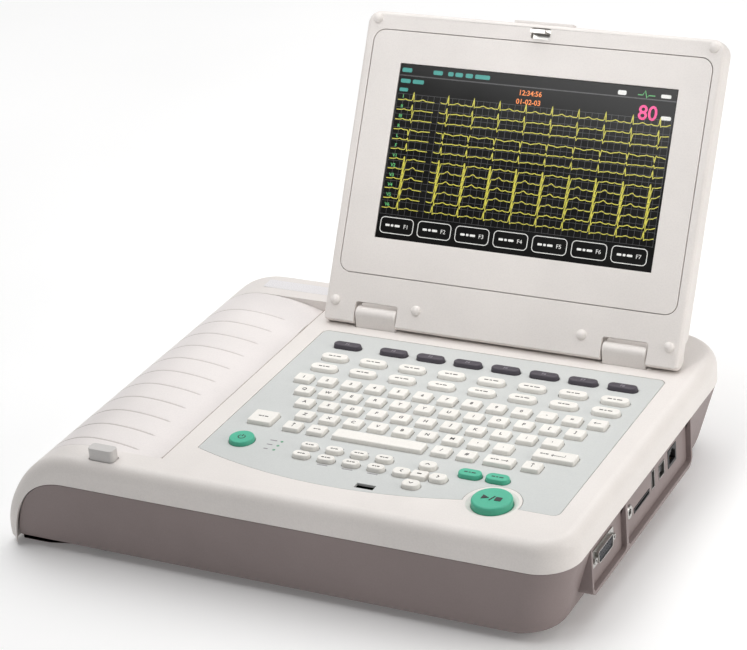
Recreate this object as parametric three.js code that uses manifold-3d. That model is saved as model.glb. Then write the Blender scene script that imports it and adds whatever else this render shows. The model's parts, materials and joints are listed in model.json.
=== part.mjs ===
// A portable twelve-lead ECG machine: a two-tone body with a keypad deck, a side-hinged
// printer cover and a tilting screen lid. Millimetres, +Z up, front of the machine towards -Y.
import * as THREE from 'three';
import { mergeVertices } from 'three/addons/utils/BufferGeometryUtils.js';
import Module from 'manifold-3d';

const wasm = await Module();
wasm.setup();

// ---------------------------------------------------------------- driving dimensions
const gap = 0.3; // clearance between touching pieces
const wall = 3; // moulded wall thickness

// Body, centred on X = 0, Y = 0 of the machine before the final shift of the origin.
const bodyHalfX = 218.5;
const bodyHalfY = 160.5;
const leftFootX = 210; // the grey casing starts here under the left end
const deckZ = 81;
const deckThickness = 3.5;
const seamZ = 59.5;
const undersideZ = 6;
const cornerRadius = { frontLeft: 9, frontRight: 28, backRight: 44, backLeft: 26 };
const originShiftY = 28.9; // centres the box of the machine, whose tilted lid overhangs the back

// Printer bay on the left, seen along Y.
const coverFrontY = -136.4;
const coverBackY = 121.4;
const coverRightX = -92.3;
const coverEdgeZ = 69.5; // the cover dips to here beside the deck
const coverThickness = 2.6;
const coverHinge = { x: -208.1, z: 33.7, radius: 3.4, rod: 1.5 };
const platen = { x: -101, z: 60, radius: 7, shaft: 2.5, front: -126, back: 87 };
const paper = { x: -155, z: 37, radius: 23, bore: 6.3, front: -124.5, back: 85.5 };
const gearModule = 1;
const gearFace = { front: 94, back: 99 };
const teeth = { platen: 16, idler: 20, pinion: 12 };
const idlerBearing = 240; // direction from the platen gear to the idler, degrees
const pinionBearing = 210; // direction from the idler to the pinion, degrees

// Screen lid: the hinge axis runs along X, and the lid leans back at rest.
const lidAxis = { y: 95.3, z: 90.5 };
const lidTilt = 29.4;
const lidCentreX = 60;
const lidHalfX = 142;
const lidTop = 228.5; // measured along the lid from the hinge axis
const lidFront = -4.9;
const lidSplit = 6;
const lidBack = 15.1;
const lidBarrel = 8.9;
const lidWall = 2.5;
const knuckleXs = [-38.8, 160.2];
const knuckleWidth = 34;
const knuckleRadius = 5.7;
const screen = { x: 61.3, width: 220.4, low: 58.1, high: 189.9 };
const bezel = { x: 60.2, width: 269, low: 29.6, high: 214.4, radius: 9 };
const latchZ = 222;
const hingePinRadius = 2;
const bumper = { height: 2.6, radius: 4, low: 7, high: 222.5 };
const bumperXs = { outer: [-73.4, 193.6], inner: [-6.1, 126.4] };

// Keypad: rows of caps on the usual 19.05 mm pitch.
const keyPitch = 19.05;
const keyTop = 84;
const keyWebLow = 76;
const keyWebHigh = 77.2;
const panelTop = 80.8;
const panelThickness = 2;
const keyHoleGap = 0.4;
const keyCornerSteps = 1;
const letterKey = { width: 13.4, depth: 11 };
const ovalKey = { width: 21.5, depth: 9.2 };
const darkKey = { width: 22.5, depth: 7.6 };
const smallKey = { width: 13.2, depth: 7.8 };
const startKey = { x: 149.6, y: -118.5, radius: 14 };
const startRing = { x: 149, y: -117.5, radius: 20.5 };
const powerKey = { x: -51, y: -95.3, radius: 9.2 };
const latchSlot = { x: lidCentreX, y: -125.8, width: 14, depth: 5 };
const releaseButton = { x: -131, y: -149, width: 20, depth: 9, top: 89.5 };

// Right-hand connector panel.
const panelFaceX = 214.4;
const housing = { front: -118.6, back: 70.6, low: 21.8, outer: 218.2 };
const panelDivider = { front: -57.5, back: -53.5 };
const connectorY = { ecg: -92.7, aux: -43.7, card: -19, usbHost: 2.7, usbDevice: 19.2, lan: 39.9 };
const connectorZ = { ecg: 44.6, aux: 44.6, card: 39.5, usbHost: 44.9, usbDevice: 43.7, lan: 44 };

// Back, underside and insides.
const inlet = { x: 0, z: 32, width: 27.4, height: 20 };
const batteryBay = { low: [92, 72], high: [172, 148] };
const batteryDoorThickness = 2.6;
const footRadius = 9;
const feet = {
  front_left: [-145, -135],
  front_right: [176, -128],
  back_left: [-145, 130],
  back_right: [182, 122],
};
const boardThickness = 1.6;
const mainBoardZ = 13.5;
const keypadBoardZ = 73;
const motor = { half: 17.5, front: 103.3, back: 123 };
const gearShaft = 2;

// ---------------------------------------------------------------- materials
function plastic(color, roughness = 0.45) {
  return new THREE.MeshStandardMaterial({ color, roughness, metalness: 0 });
}
function metal(color, roughness = 0.35) {
  return new THREE.MeshStandardMaterial({ color, roughness, metalness: 1 });
}
const paint = {
  shellWhite: plastic(0xebe6e1, 0.4),
  shellGrey: plastic(0x8d8482, 0.5),
  coverWhite: plastic(0xece6e6, 0.4),
  panelGrey: plastic(0xd3d6d4, 0.55),
  keyWhite: plastic(0xf2efe9, 0.5),
  keyDark: plastic(0x4b4650, 0.5),
  keyGreen: plastic(0x3fb894, 0.4),
  glass: plastic(0x0c0d0c, 0.12),
  display: plastic(0x2a2c2e, 0.5),
  board: plastic(0x1f5a3a, 0.6),
  blackPlastic: plastic(0x1e1e20, 0.55),
  steel: metal(0xa9abad),
  brass: metal(0xb99a54, 0.3),
  rubber: plastic(0x2b2b2b, 0.9),
  paperWhite: plastic(0xf7f3ee, 0.9),
  gearWhite: plastic(0xe2ddcc, 0.5),
  battery: plastic(0x2f4a6a, 0.55),
};

// ---------------------------------------------------------------- geometry helpers
function solidOf(geometry) {
  const bare = geometry.clone();
  bare.deleteAttribute('normal');
  bare.deleteAttribute('uv');
  const merged = mergeVertices(bare, 1e-4);
  return new wasm.Manifold(new wasm.Mesh({
    numProp: 3,
    vertProperties: merged.attributes.position.array,
    triVerts: merged.index.array,
  }));
}

function geometryOf(manifold) {
  const mesh = manifold.getMesh();
  const geometry = new THREE.BufferGeometry();
  geometry.setAttribute('position', new THREE.BufferAttribute(mesh.vertProperties, 3));
  geometry.setIndex(new THREE.BufferAttribute(mesh.triVerts, 1));
  geometry.computeVertexNormals();
  return geometry;
}

function join(...solids) {
  return solids.reduce((whole, piece) => whole.add(piece));
}

function cut(whole, ...tools) {
  return tools.reduce((rest, tool) => rest.subtract(tool), whole);
}

function box(low, high) {
  const size = high.map((value, axis) => value - low[axis]);
  const geometry = new THREE.BoxGeometry(...size);
  geometry.translate(...low.map((value, axis) => value + size[axis] / 2));
  return solidOf(geometry);
}

const axisBases = {
  X: [new THREE.Vector3(0, 1, 0), new THREE.Vector3(0, 0, 1), new THREE.Vector3(1, 0, 0)],
  Y: [new THREE.Vector3(1, 0, 0), new THREE.Vector3(0, 0, 1), new THREE.Vector3(0, -1, 0)],
  Z: [new THREE.Vector3(1, 0, 0), new THREE.Vector3(0, 1, 0), new THREE.Vector3(0, 0, 1)],
};

// Extrudes a shape from low to high along an axis. The shape is drawn in YZ for X, in XZ for Y
// and in XY for Z.
function prism(shape, axis, low, high, curveSegments = 5) {
  const options = { depth: high - low, bevelEnabled: false, curveSegments };
  const geometry = new THREE.ExtrudeGeometry(shape, options);
  geometry.applyMatrix4(new THREE.Matrix4().makeBasis(...axisBases[axis]));
  const start = axis === 'Y' ? high : low;
  const offset = { X: [start, 0, 0], Y: [0, start, 0], Z: [0, 0, start] }[axis];
  geometry.translate(...offset);
  return solidOf(geometry);
}

function circle(radius, x = 0, y = 0) {
  const shape = new THREE.Shape();
  shape.absarc(x, y, radius, 0, Math.PI * 2, false);
  return shape;
}

// A round bar along an axis through a point of the plane across it.
function bar(axis, radius, across, up, low, high, segments = 8) {
  return prism(circle(radius, across, up), axis, low, high, segments);
}

function roundedRect(width, depth, radius, x = 0, y = 0) {
  const left = x - width / 2;
  const right = x + width / 2;
  const low = y - depth / 2;
  const high = y + depth / 2;
  const r = Math.min(radius, width / 2 - 0.01, depth / 2 - 0.01);
  const shape = new THREE.Shape();
  shape.moveTo(left + r, low);
  shape.lineTo(right - r, low);
  shape.absarc(right - r, low + r, r, -Math.PI / 2, 0, false);
  shape.lineTo(right, high - r);
  shape.absarc(right - r, high - r, r, 0, Math.PI / 2, false);
  shape.lineTo(left + r, high);
  shape.absarc(left + r, high - r, r, Math.PI / 2, Math.PI, false);
  shape.lineTo(left, low + r);
  shape.absarc(left + r, low + r, r, Math.PI, Math.PI * 1.5, false);
  return shape;
}

function rectangle(width, depth, x = 0, y = 0) {
  const shape = new THREE.Shape();
  shape.moveTo(x - width / 2, y - depth / 2);
  shape.lineTo(x + width / 2, y - depth / 2);
  shape.lineTo(x + width / 2, y + depth / 2);
  shape.lineTo(x - width / 2, y + depth / 2);
  shape.closePath();
  return shape;
}

// Joins closed rings of equal point count, given from the bottom up, into one closed solid.
function stack(rings) {
  const count = rings[0].points.length;
  const positions = [];
  const triangles = [];
  rings.forEach((ring) => ring.points.forEach((point) => positions.push(point.x, point.y, ring.z)));
  for (let level = 0; level + 1 < rings.length; level += 1) {
    for (let i = 0; i < count; i += 1) {
      const a = level * count + i;
      const b = level * count + ((i + 1) % count);
      triangles.push(a, b, b + count, a, b + count, a + count);
    }
  }
  const top = (rings.length - 1) * count;
  THREE.ShapeUtils.triangulateShape(rings[0].points, []).forEach(([a, b, c]) => triangles.push(a, c, b));
  THREE.ShapeUtils.triangulateShape(rings[0].points, []).forEach(([a, b, c]) => {
    triangles.push(top + a, top + b, top + c);
  });
  const geometry = new THREE.BufferGeometry();
  geometry.setAttribute('position', new THREE.Float32BufferAttribute(positions, 3));
  geometry.setIndex(triangles);
  return solidOf(geometry);
}

// The body's outline in plan, pulled in by an amount on each side, anticlockwise from the left.
function bodyOutline({ left = 0, right = 0, front = 0, back = 0 }) {
  const x0 = -bodyHalfX + left;
  const x1 = bodyHalfX - right;
  const y0 = -bodyHalfY + front;
  const y1 = bodyHalfY - back;
  const corners = [
    { x: x0, y: y0, sx: 1, sy: 1, r: cornerRadius.frontLeft, start: 180 },
    { x: x1, y: y0, sx: -1, sy: 1, r: cornerRadius.frontRight, start: 270 },
    { x: x1, y: y1, sx: -1, sy: -1, r: cornerRadius.backRight, start: 0 },
    { x: x0, y: y1, sx: 1, sy: -1, r: cornerRadius.backLeft, start: 90 },
  ];
  const steps = 5;
  return corners.flatMap((corner) => Array.from({ length: steps + 1 }, (_, step) => {
    const angle = THREE.MathUtils.degToRad(corner.start + (90 * step) / steps);
    return new THREE.Vector2(
      corner.x + corner.sx * corner.r + corner.r * Math.cos(angle),
      corner.y + corner.sy * corner.r + corner.r * Math.sin(angle),
    );
  }));
}

function evenInset(amount) {
  return { left: amount, right: amount, front: amount, back: amount };
}

const group = new THREE.Group();
group.position.y = -originShiftY;
const lidGroup = new THREE.Group();
lidGroup.position.set(0, lidAxis.y, lidAxis.z);
lidGroup.rotation.x = -THREE.MathUtils.degToRad(lidTilt);
group.add(lidGroup);

function part(name, solid, material, parent = group) {
  const mesh = new THREE.Mesh(geometryOf(solid), material);
  mesh.name = name;
  parent.add(mesh);
}

// ---------------------------------------------------------------- outlines seen from the front
// The left end is one big round from the underside up to the deck.
const leftEnd = new THREE.CubicBezierCurve(
  new THREE.Vector2(-bodyHalfX, 2),
  new THREE.Vector2(-214, 48),
  new THREE.Vector2(-190, deckZ),
  new THREE.Vector2(-150, deckZ),
);
// Where the white top casing meets the grey lower one round the left end.
const leftSeam = new THREE.CubicBezierCurve(
  new THREE.Vector2(-leftFootX, 2),
  new THREE.Vector2(-206, 38),
  new THREE.Vector2(-192, seamZ),
  new THREE.Vector2(-160, seamZ),
);
// The printer cover dips from the crest to the paper exit.
const coverDip = new THREE.CubicBezierCurve(
  new THREE.Vector2(-150, deckZ),
  new THREE.Vector2(-130, deckZ),
  new THREE.Vector2(-108, 77),
  new THREE.Vector2(coverRightX, coverEdgeZ),
);

// Shifts an open polyline sideways, to its right-hand side for a positive distance.
function offsetLine(points, distance) {
  return points.map((point, i) => {
    const before = points[Math.max(i - 1, 0)];
    const after = points[Math.min(i + 1, points.length - 1)];
    const along = after.clone().sub(before).normalize();
    return new THREE.Vector2(point.x + along.y * distance, point.y - along.x * distance);
  });
}

function sampled(curve, from, to, steps) {
  return Array.from({ length: steps + 1 }, (_, i) => curve.getPoint(from + ((to - from) * i) / steps));
}

function outerProfile(inset) {
  const line = offsetLine(sampled(leftEnd, 0, 1, 9), inset);
  const shape = new THREE.Shape(line);
  shape.lineTo(bodyHalfX + 10, deckZ - inset);
  shape.lineTo(bodyHalfX + 10, -10);
  shape.lineTo(line[0].x, -10);
  shape.closePath();
  return shape;
}

// The grey casing's section: the seam line at the left, a low foot, then the raised underside.
// The seam line is followed up to a height, and the section stands upright above it.
function belowSeamProfile(inset, lift, top, followTo = seamZ) {
  const floor = 2 + lift;
  const line = offsetLine(sampled(leftSeam, 0, 1, 8), inset)
    .filter((point) => point.y > floor && point.y <= followTo);
  const shape = new THREE.Shape();
  shape.moveTo(-leftFootX + inset, floor);
  shape.lineTo(-192, floor);
  shape.lineTo(-162, undersideZ + lift);
  shape.lineTo(bodyHalfX + 10, undersideZ + lift);
  shape.lineTo(bodyHalfX + 10, top);
  shape.lineTo(line[line.length - 1].x, top);
  line.reverse().forEach((point) => shape.lineTo(point.x, point.y));
  shape.closePath();
  return shape;
}

// ---------------------------------------------------------------- keypad layout
// Every key is { x, y, width, depth, radius }, centred on its cap.
function keyRow(count, firstX, pitch, y, size, radius) {
  return Array.from({ length: count }, (_, i) => ({ x: firstX + i * pitch, y, ...size, radius }));
}

const rowDepth = 17.1;
const numberRowY = -0.5;
const rowStagger = 9.3;
const firstKeyX = -51.8;
const letterRow = (index, count) => keyRow(
  count,
  firstKeyX + index * rowStagger,
  keyPitch,
  numberRowY - index * rowDepth,
  letterKey,
  1.2,
);
const ovalRow = (y) => keyRow(8, -45.4, 31.47, y, ovalKey, ovalKey.depth / 2);
const smallRow = (y) => keyRow(4, 0, keyPitch, y, smallKey, smallKey.depth / 2);
const bottomRowY = -68.7;
const arrow = (x, y) => ({ x, y, width: 13, depth: 9.4, radius: 3.6 });

const keypad = {
  number_keys: letterRow(0, 13),
  upper_letter_keys: letterRow(1, 12),
  middle_letter_keys: letterRow(2, 11),
  lower_letter_keys: letterRow(3, 9),
  left_modifier_keys: keyRow(2, -24.6, 19, bottomRowY, letterKey, 1.2),
  space_key: [{ x: 42.6, y: bottomRowY, width: 69.5, depth: 11.6, radius: 1.2 }],
  right_modifier_keys: [
    { x: 89.9, y: bottomRowY, ...letterKey, radius: 1.2 },
    { x: 109, y: bottomRowY, ...letterKey, radius: 1.2 },
    { x: 133, y: bottomRowY, width: 21.5, depth: 11, radius: 1.2 },
    { x: 156.9, y: bottomRowY, ...letterKey, radius: 1.2 },
  ],
  enter_key: [{ x: 166.4, y: -51.3, width: 31, depth: 12, radius: 1.2 }],
  esc_key: [{ x: -51, y: -63.5, width: 19, depth: 17, radius: 1.2 }],
  function_keys: [{ x: -45.2, y: 56.4, ...darkKey, radius: darkKey.depth / 2 },
    ...keyRow(7, -7.2, 29.97, 56.6, darkKey, darkKey.depth / 2)],
  upper_menu_keys: ovalRow(36),
  lower_menu_keys: ovalRow(18.8),
  option_keys: [...smallRow(-90.4), ...smallRow(-103.1)],
  arrow_keys: [arrow(89.5, -89.3), arrow(76.2, -103), arrow(103.2, -102.6), arrow(89.3, -115.8),
    { x: 89.5, y: -102.8, width: 12, depth: 9, radius: 1.2 }],
  mode_key: [{ x: 121.2, y: -90.5, width: 17.2, depth: 9.6, radius: 4.8 }],
  copy_key: [{ x: 141.3, y: -90.5, width: 17.2, depth: 9.6, radius: 4.8 }],
  power_key: [{ ...powerKey, width: 2 * powerKey.radius, depth: 2 * powerKey.radius }],
};

// Typing keys are square-cornered here; the long and round ones keep their round ends.
function keyShape(key, margin = 0) {
  const width = key.width + margin * 2;
  const depth = key.depth + margin * 2;
  if (key.radius < 2) return rectangle(width, depth, key.x, key.y);
  return roundedRect(width, depth, key.radius + margin, key.x, key.y);
}

// The light grey keypad panel: square at the back, bowed at the front, cut round the start key.
function panelShape(inset) {
  const left = -75.5 + inset;
  const right = 197 - inset;
  const back = 78 - inset;
  const leftFront = -114 + inset;
  const front = -120.6 + inset;
  const ring = startRing.radius + Math.min(inset, 1);
  const reach = Math.sqrt(ring * ring - (front - startRing.y) ** 2);
  const ringAngle = Math.atan2(front - startRing.y, reach);
  const corner = 5;
  const shape = new THREE.Shape();
  shape.moveTo(left, back - corner);
  shape.lineTo(left, leftFront);
  shape.quadraticCurveTo(24.6, -149 + inset, startRing.x - reach, front);
  shape.absarc(startRing.x, startRing.y, ring, Math.PI - ringAngle, ringAngle, true);
  shape.lineTo(right - corner, front);
  shape.absarc(right - corner, front + corner, corner, -Math.PI / 2, 0, false);
  shape.lineTo(right, back - corner);
  shape.absarc(right - corner, back - corner, corner, 0, Math.PI / 2, false);
  shape.lineTo(left + corner, back);
  shape.absarc(left + corner, back - corner, corner, Math.PI / 2, Math.PI, false);
  return shape;
}

// ---------------------------------------------------------------- casings
const shellRings = (extra, topDrop, bottom) => [
  { z: bottom, points: bodyOutline(evenInset(extra)) },
  { z: seamZ, points: bodyOutline(evenInset(extra)) },
  { z: 70, points: bodyOutline(evenInset(1.2 + extra)) },
  { z: 76 - topDrop, points: bodyOutline(evenInset(3.2 + extra)) },
  { z: 79.6 - topDrop, points: bodyOutline(evenInset(6.2 + extra)) },
  { z: deckZ - topDrop, points: bodyOutline(evenInset(10.5 + extra)) },
];

function hingeLugs() {
  const lug = (low, high) => bar('Y', 4.2, coverHinge.x, coverHinge.z, low, high, 10);
  return [lug(-142, coverFrontY - gap), lug(coverBackY + gap, 127)];
}

function topShell() {
  const outer = stack(shellRings(0, 0, 2)).intersect(prism(outerProfile(0), 'Y', -170, 170));
  const inner = stack(shellRings(wall, deckThickness, -5))
    .intersect(prism(outerProfile(wall + 0.5), 'Y', -170, 170));
  const skin = cut(outer, inner, prism(belowSeamProfile(0, -20, seamZ), 'Y', -170, 170));
  const wallLow = seamZ + 0.7;
  const inside = (low, high) => box(low, high).intersect(inner);
  const bulkheads = [
    inside([-230, coverFrontY - gap - wall, wallLow], [-89, coverFrontY - gap, 90]),
    inside([-230, coverBackY + gap, wallLow], [-89, coverBackY + gap + wall, 90]),
    inside([coverRightX + gap, coverFrontY - wall, wallLow], [-89, coverBackY + wall, 90]),
    ...hingeLugs().map((lug) => lug.intersect(outer)),
  ];
  const bay = box(
    [-230, coverFrontY - gap, coverHinge.z - coverHinge.radius - 0.5],
    [coverRightX + gap, coverBackY + gap, 100],
  );
  const panelFloor = panelTop - panelThickness - gap;
  const buttonHole = roundedRect(
    releaseButton.width + 1,
    releaseButton.depth + 1,
    3,
    releaseButton.x,
    releaseButton.y,
  );
  const tools = [
    bay,
    prism(panelShape(-gap), 'Z', panelFloor, 90, 8),
    prism(panelShape(4), 'Z', 60, 90),
    bar('Z', startKey.radius + keyHoleGap, startKey.x, startKey.y, 60, 90, 10),
    prism(buttonHole, 'Z', 60, 90, 3),
    bar('Y', coverHinge.rod + gap, coverHinge.x, coverHinge.z, -141, 126, 5),
    prism(rectangle(latchSlot.width, latchSlot.depth, latchSlot.x, latchSlot.y), 'Z', 60, 90),
    ...knuckleXs.map((x) => box(
      [x - knuckleWidth / 2 - gap, lidAxis.y - knuckleRadius - gap, 60],
      [x + knuckleWidth / 2 + gap, lidAxis.y + knuckleRadius + gap, 90],
    )),
  ];
  return cut(join(skin, ...bulkheads), ...tools);
}

// One ring of the grey casing: upright at the seam, drawn in towards the underside.
function baseRing(z, right, front, back, extra = 0) {
  const pull = { left: -6, right: right + extra, front: front + extra, back: back + extra };
  return { z, points: bodyOutline(pull) };
}

function atPanel(width, height, y, z, low, high) {
  return prism(rectangle(width, height, y, z), 'X', low, high);
}

function baseShell() {
  const outer = stack([
    baseRing(-2, 22, 11, 9),
    baseRing(undersideZ, 21, 10, 8),
    baseRing(9, 17, 6.4, 4),
    baseRing(15, 14, 4.4, 1.5),
    baseRing(seamZ - gap, gap, gap, gap),
  ]).intersect(prism(belowSeamProfile(gap, 0, seamZ - gap), 'Y', -170, 170));
  const inner = stack([
    baseRing(-2, 21, 10, 8, wall),
    baseRing(9, 17, 6.4, 4, wall),
    baseRing(15, 14, 4.4, 1.5, wall),
    baseRing(seamZ + 10, gap, gap, gap, wall),
  ]).intersect(prism(belowSeamProfile(gap + wall, wall, 68, 50), 'Y', -170, 170));
  const portBox = box([185, housing.front, housing.low], [housing.outer, housing.back, seamZ - gap]);
  const portRoom = box(
    [180, housing.front + wall, housing.low + wall],
    [panelFaceX - wall, housing.back - wall, 70],
  );
  const recess = (front, back) => box([panelFaceX, front, housing.low + 3], [230, back, 70]);
  const [doorX, doorY] = batteryBay.low;
  const [doorBackX, doorBackY] = batteryBay.high;
  const holes = [
    recess(housing.front + 2.6, panelDivider.front),
    recess(panelDivider.back, housing.back - 2.6),
    atPanel(26.6, 9.6, connectorY.ecg, connectorZ.ecg, 205, 220),
    bar('X', 5.4, connectorY.aux, connectorZ.aux, 205, 220, 4),
    atPanel(29.6, 4.6, connectorY.card, connectorZ.card, 205, 220),
    atPanel(6.4, 14.6, connectorY.usbHost, connectorZ.usbHost, 205, 220),
    atPanel(11.4, 11.4, connectorY.usbDevice, connectorZ.usbDevice, 205, 220),
    atPanel(16.6, 14.6, connectorY.lan, connectorZ.lan, 205, 220),
    prism(rectangle(inlet.width + 2 * gap, inlet.height + 2 * gap, inlet.x, inlet.z), 'Y', 140, 170),
    box([doorX - gap, doorY - gap, -5], [doorBackX + gap, doorBackY + gap, 10]),
  ];
  return cut(join(cut(outer, inner), portBox), portRoom, inner, ...holes);
}

// ---------------------------------------------------------------- printer
function printerCover() {
  const outerLine = [...sampled(leftEnd, 0.25, 1, 7), ...sampled(coverDip, 0.2, 1, 5)];
  const innerLine = offsetLine(outerLine, coverThickness);
  innerLine[innerLine.length - 1].x = coverRightX;
  const profile = new THREE.Shape([...outerLine, ...innerLine.reverse()]);
  const sheet = prism(profile, 'Y', coverFrontY, coverBackY);
  const barrel = bar('Y', coverHinge.radius, coverHinge.x, coverHinge.z, coverFrontY, coverBackY, 6);
  const ribShape = new THREE.Shape();
  ribShape.moveTo(platen.x - 6, platen.z - 7);
  ribShape.lineTo(platen.x + 5, platen.z - 7);
  ribShape.lineTo(platen.x + 7.5, platen.z + 9);
  ribShape.lineTo(platen.x - 14, platen.z + 14);
  const rib = (low, high) => prism(ribShape, 'Y', low, high);
  const notch = (low, high) => box([coverRightX - 8.5, low, 50], [coverRightX + 5, high, 90]);
  const holes = [
    bar('Y', coverHinge.rod + gap, coverHinge.x, coverHinge.z, coverFrontY - 5, coverBackY + 5, 5),
    bar('Y', platen.shaft + gap, platen.x, platen.z, -140, 100, 5),
    notch(coverFrontY + 2, coverFrontY + 16),
    notch(80, 97),
  ];
  const ribs = [rib(platen.front - 4, platen.front - 1.4), rib(platen.back + 2, platen.back + 4.6)];
  return cut(join(sheet, barrel, ...ribs), ...holes);
}

function paperRoll() {
  const roll = bar('Y', paper.radius, paper.x, paper.z, paper.front, paper.back, 14);
  return cut(roll, bar('Y', paper.bore, paper.x, paper.z, paper.front - 1, paper.back + 1, 7));
}

function paperCore() {
  const body = bar('Y', paper.bore - gap, paper.x, paper.z, paper.front - 2.5, paper.back + 2.5, 7);
  return join(body, bar('Y', 3, paper.x, paper.z, paper.front - 6, paper.back + 6, 4));
}

// The outline of one involute gear wheel, with a tooth centred on a given direction.
function gearShape(toothCount, toothDirection, bore) {
  const pitchRadius = (gearModule * toothCount) / 2;
  const pressure = THREE.MathUtils.degToRad(20);
  const baseRadius = pitchRadius * Math.cos(pressure);
  const involute = (angle) => Math.tan(angle) - angle;
  const backlash = 0.24 * gearModule;
  const halfAtPitch = (Math.PI * gearModule * 0.5 - backlash) / 2 / pitchRadius;
  const halfAngle = (radius) => {
    const angle = Math.acos(Math.min(1, baseRadius / radius));
    return halfAtPitch + involute(pressure) - involute(angle);
  };
  const rootRadius = pitchRadius - 1.25 * gearModule;
  const tipRadius = pitchRadius + 0.8 * gearModule;
  const flank = [rootRadius, pitchRadius, tipRadius];
  const tipToRoot = [tipRadius, pitchRadius, rootRadius];
  const shape = new THREE.Shape();
  const points = Array.from({ length: toothCount }, (_, tooth) => {
    const middle = toothDirection + (tooth * 2 * Math.PI) / toothCount;
    const at = (radius, side) => {
      const angle = middle + side * halfAngle(Math.max(radius, baseRadius));
      return new THREE.Vector2(radius * Math.cos(angle), radius * Math.sin(angle));
    };
    return [...flank.map((radius) => at(radius, -1)), ...tipToRoot.map((radius) => at(radius, 1))];
  });
  shape.setFromPoints(points.flat());
  const hole = new THREE.Path();
  hole.absarc(0, 0, bore, 0, Math.PI * 2, true);
  if (bore > 0) shape.holes.push(hole);
  return shape;
}

function gearAt(shape, centre) {
  return prism(shape, 'Y', gearFace.front, gearFace.back, 4).translate([centre.x, 0, centre.y]);
}

// Places a follower at a bearing from its driver and turns it so that the teeth interleave.
function meshed(driver, followerTeeth, bearing) {
  const direction = THREE.MathUtils.degToRad(bearing);
  const distance = (gearModule * (driver.teeth + followerTeeth)) / 2 + 0.15;
  const driverPitch = (2 * Math.PI) / driver.teeth;
  const offset = (((direction - driver.phase) % driverPitch) + driverPitch) % driverPitch;
  const phase = direction + Math.PI + (offset * driver.teeth) / followerTeeth + Math.PI / followerTeeth;
  return {
    teeth: followerTeeth,
    phase,
    centre: new THREE.Vector2(
      driver.centre.x + distance * Math.cos(direction),
      driver.centre.y + distance * Math.sin(direction),
    ),
  };
}

const platenGear = { teeth: teeth.platen, phase: 0, centre: new THREE.Vector2(platen.x, platen.z) };
const idlerGear = meshed(platenGear, teeth.idler, idlerBearing);
const pinionGear = meshed(idlerGear, teeth.pinion, pinionBearing);
function printerChassis() {
  const left = -183;
  const right = -86;
  const low = 12;
  const plate = (y0, y1, x0, x1, top) => box([x0, y0, low], [x1, y1, top]);
  const front = paper.front - 5.6;
  const back = paper.back + 2.8;
  const body = join(
    box([left, front, low], [right, back + 2.4, low + 1.6]),
    plate(front, front + 2.4, left, -112, 50),
    plate(back, back + 2.4, left, right, 50),
    box([-142, 101, low], [right, 103, 50]),
    box([-142, back, low], [right, 103, low + 1.6]),
    box([-140, releaseButton.y - 4.5, 42], [-122, front + 1, 43.6]),
    headBracket(),
  );
  const slot = (y) => box([paper.x - 3.4, y - 1, paper.z - 3.4], [paper.x + 3.4, y + 4, 60]);
  const shaftHole = (gear) => bar('Y', gearShaft + gap, gear.centre.x, gear.centre.y, 80, 110, 5);
  return cut(body, slot(front), slot(back), shaftHole(idlerGear), shaftHole(pinionGear));
}

function stepperMotor() {
  const { x, y: z } = pinionGear.centre;
  const { half, front, back } = motor;
  const body = box([x - half, front, z - half], [x + half, back, z + half]);
  return cut(body, bar('Y', gearShaft + gap, x, z, 100, 112, 5));
}

// A gear wheel on its own short shaft.
function shaftGear(gear, low, high) {
  const shaft = bar('Y', gearShaft, gear.centre.x, gear.centre.y, low, high, 5);
  return join(gearAt(gearShape(gear.teeth, gear.phase, 0), gear.centre), shaft);
}

function printHead() {
  const bodyTop = platen.z - platen.radius - gap;
  return box([platen.x - 7, platen.front + 1, bodyTop - 5], [platen.x + 9, platen.back - 1, bodyTop]);
}

// The folded channel on the chassis floor that carries the print head.
function headBracket() {
  const top = platen.z - platen.radius - 5 - 2 * gap;
  const outer = box([platen.x - 5, -118, 13], [platen.x + 7, 78, top]);
  return cut(outer, box([platen.x - 3, -120, 13.6], [platen.x + 5, 80, top - 2]));
}

function releaseKey() {
  const { x, y, width, depth, top } = releaseButton;
  const flangeLow = 73.5;
  const cap = prism(roundedRect(width, depth, 2.6, x, y), 'Z', flangeLow, top, 3);
  const flange = box([x - 11.5, y - 3, flangeLow], [x + 11.5, y + 5.5, flangeLow + 1.5]);
  return join(cap, flange, box([x - 3, y - 2, 60], [x + 3, y + 2, flangeLow + 0.5]));
}

function coilSpring(x, y, low, high, radius, wire, turns) {
  class Helix extends THREE.Curve {
    getPoint(t, target = new THREE.Vector3()) {
      const angle = t * turns * Math.PI * 2;
      return target.set(
        x + radius * Math.cos(angle),
        y + radius * Math.sin(angle),
        low + wire + (high - low - 2 * wire) * t,
      );
    }
  }
  const section = new THREE.Shape();
  section.absarc(0, 0, wire, 0, Math.PI * 2, false);
  const options = { steps: turns * 9, curveSegments: 3, bevelEnabled: false, extrudePath: new Helix() };
  return solidOf(new THREE.ExtrudeGeometry(section, options));
}

// ---------------------------------------------------------------- connectors
function ecgConnector() {
  const { ecg: y } = connectorY;
  const { ecg: z } = connectorZ;
  const face = panelFaceX + gap;
  const shroud = atPanel(24.8, 8.4, y, z, 203, housing.outer - 0.2);
  const flange = prism(roundedRect(39, 12.4, 2, y, z), 'X', face, face + 0.9, 2);
  const screw = (side) => bar('X', 2.7, y + side * 16.65, z, face, housing.outer - 0.2, 3);
  const mouth = atPanel(22.8, 6.4, y, z, housing.outer - 5.4, 230);
  return cut(join(shroud, flange, screw(-1), screw(1)), mouth);
}

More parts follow.
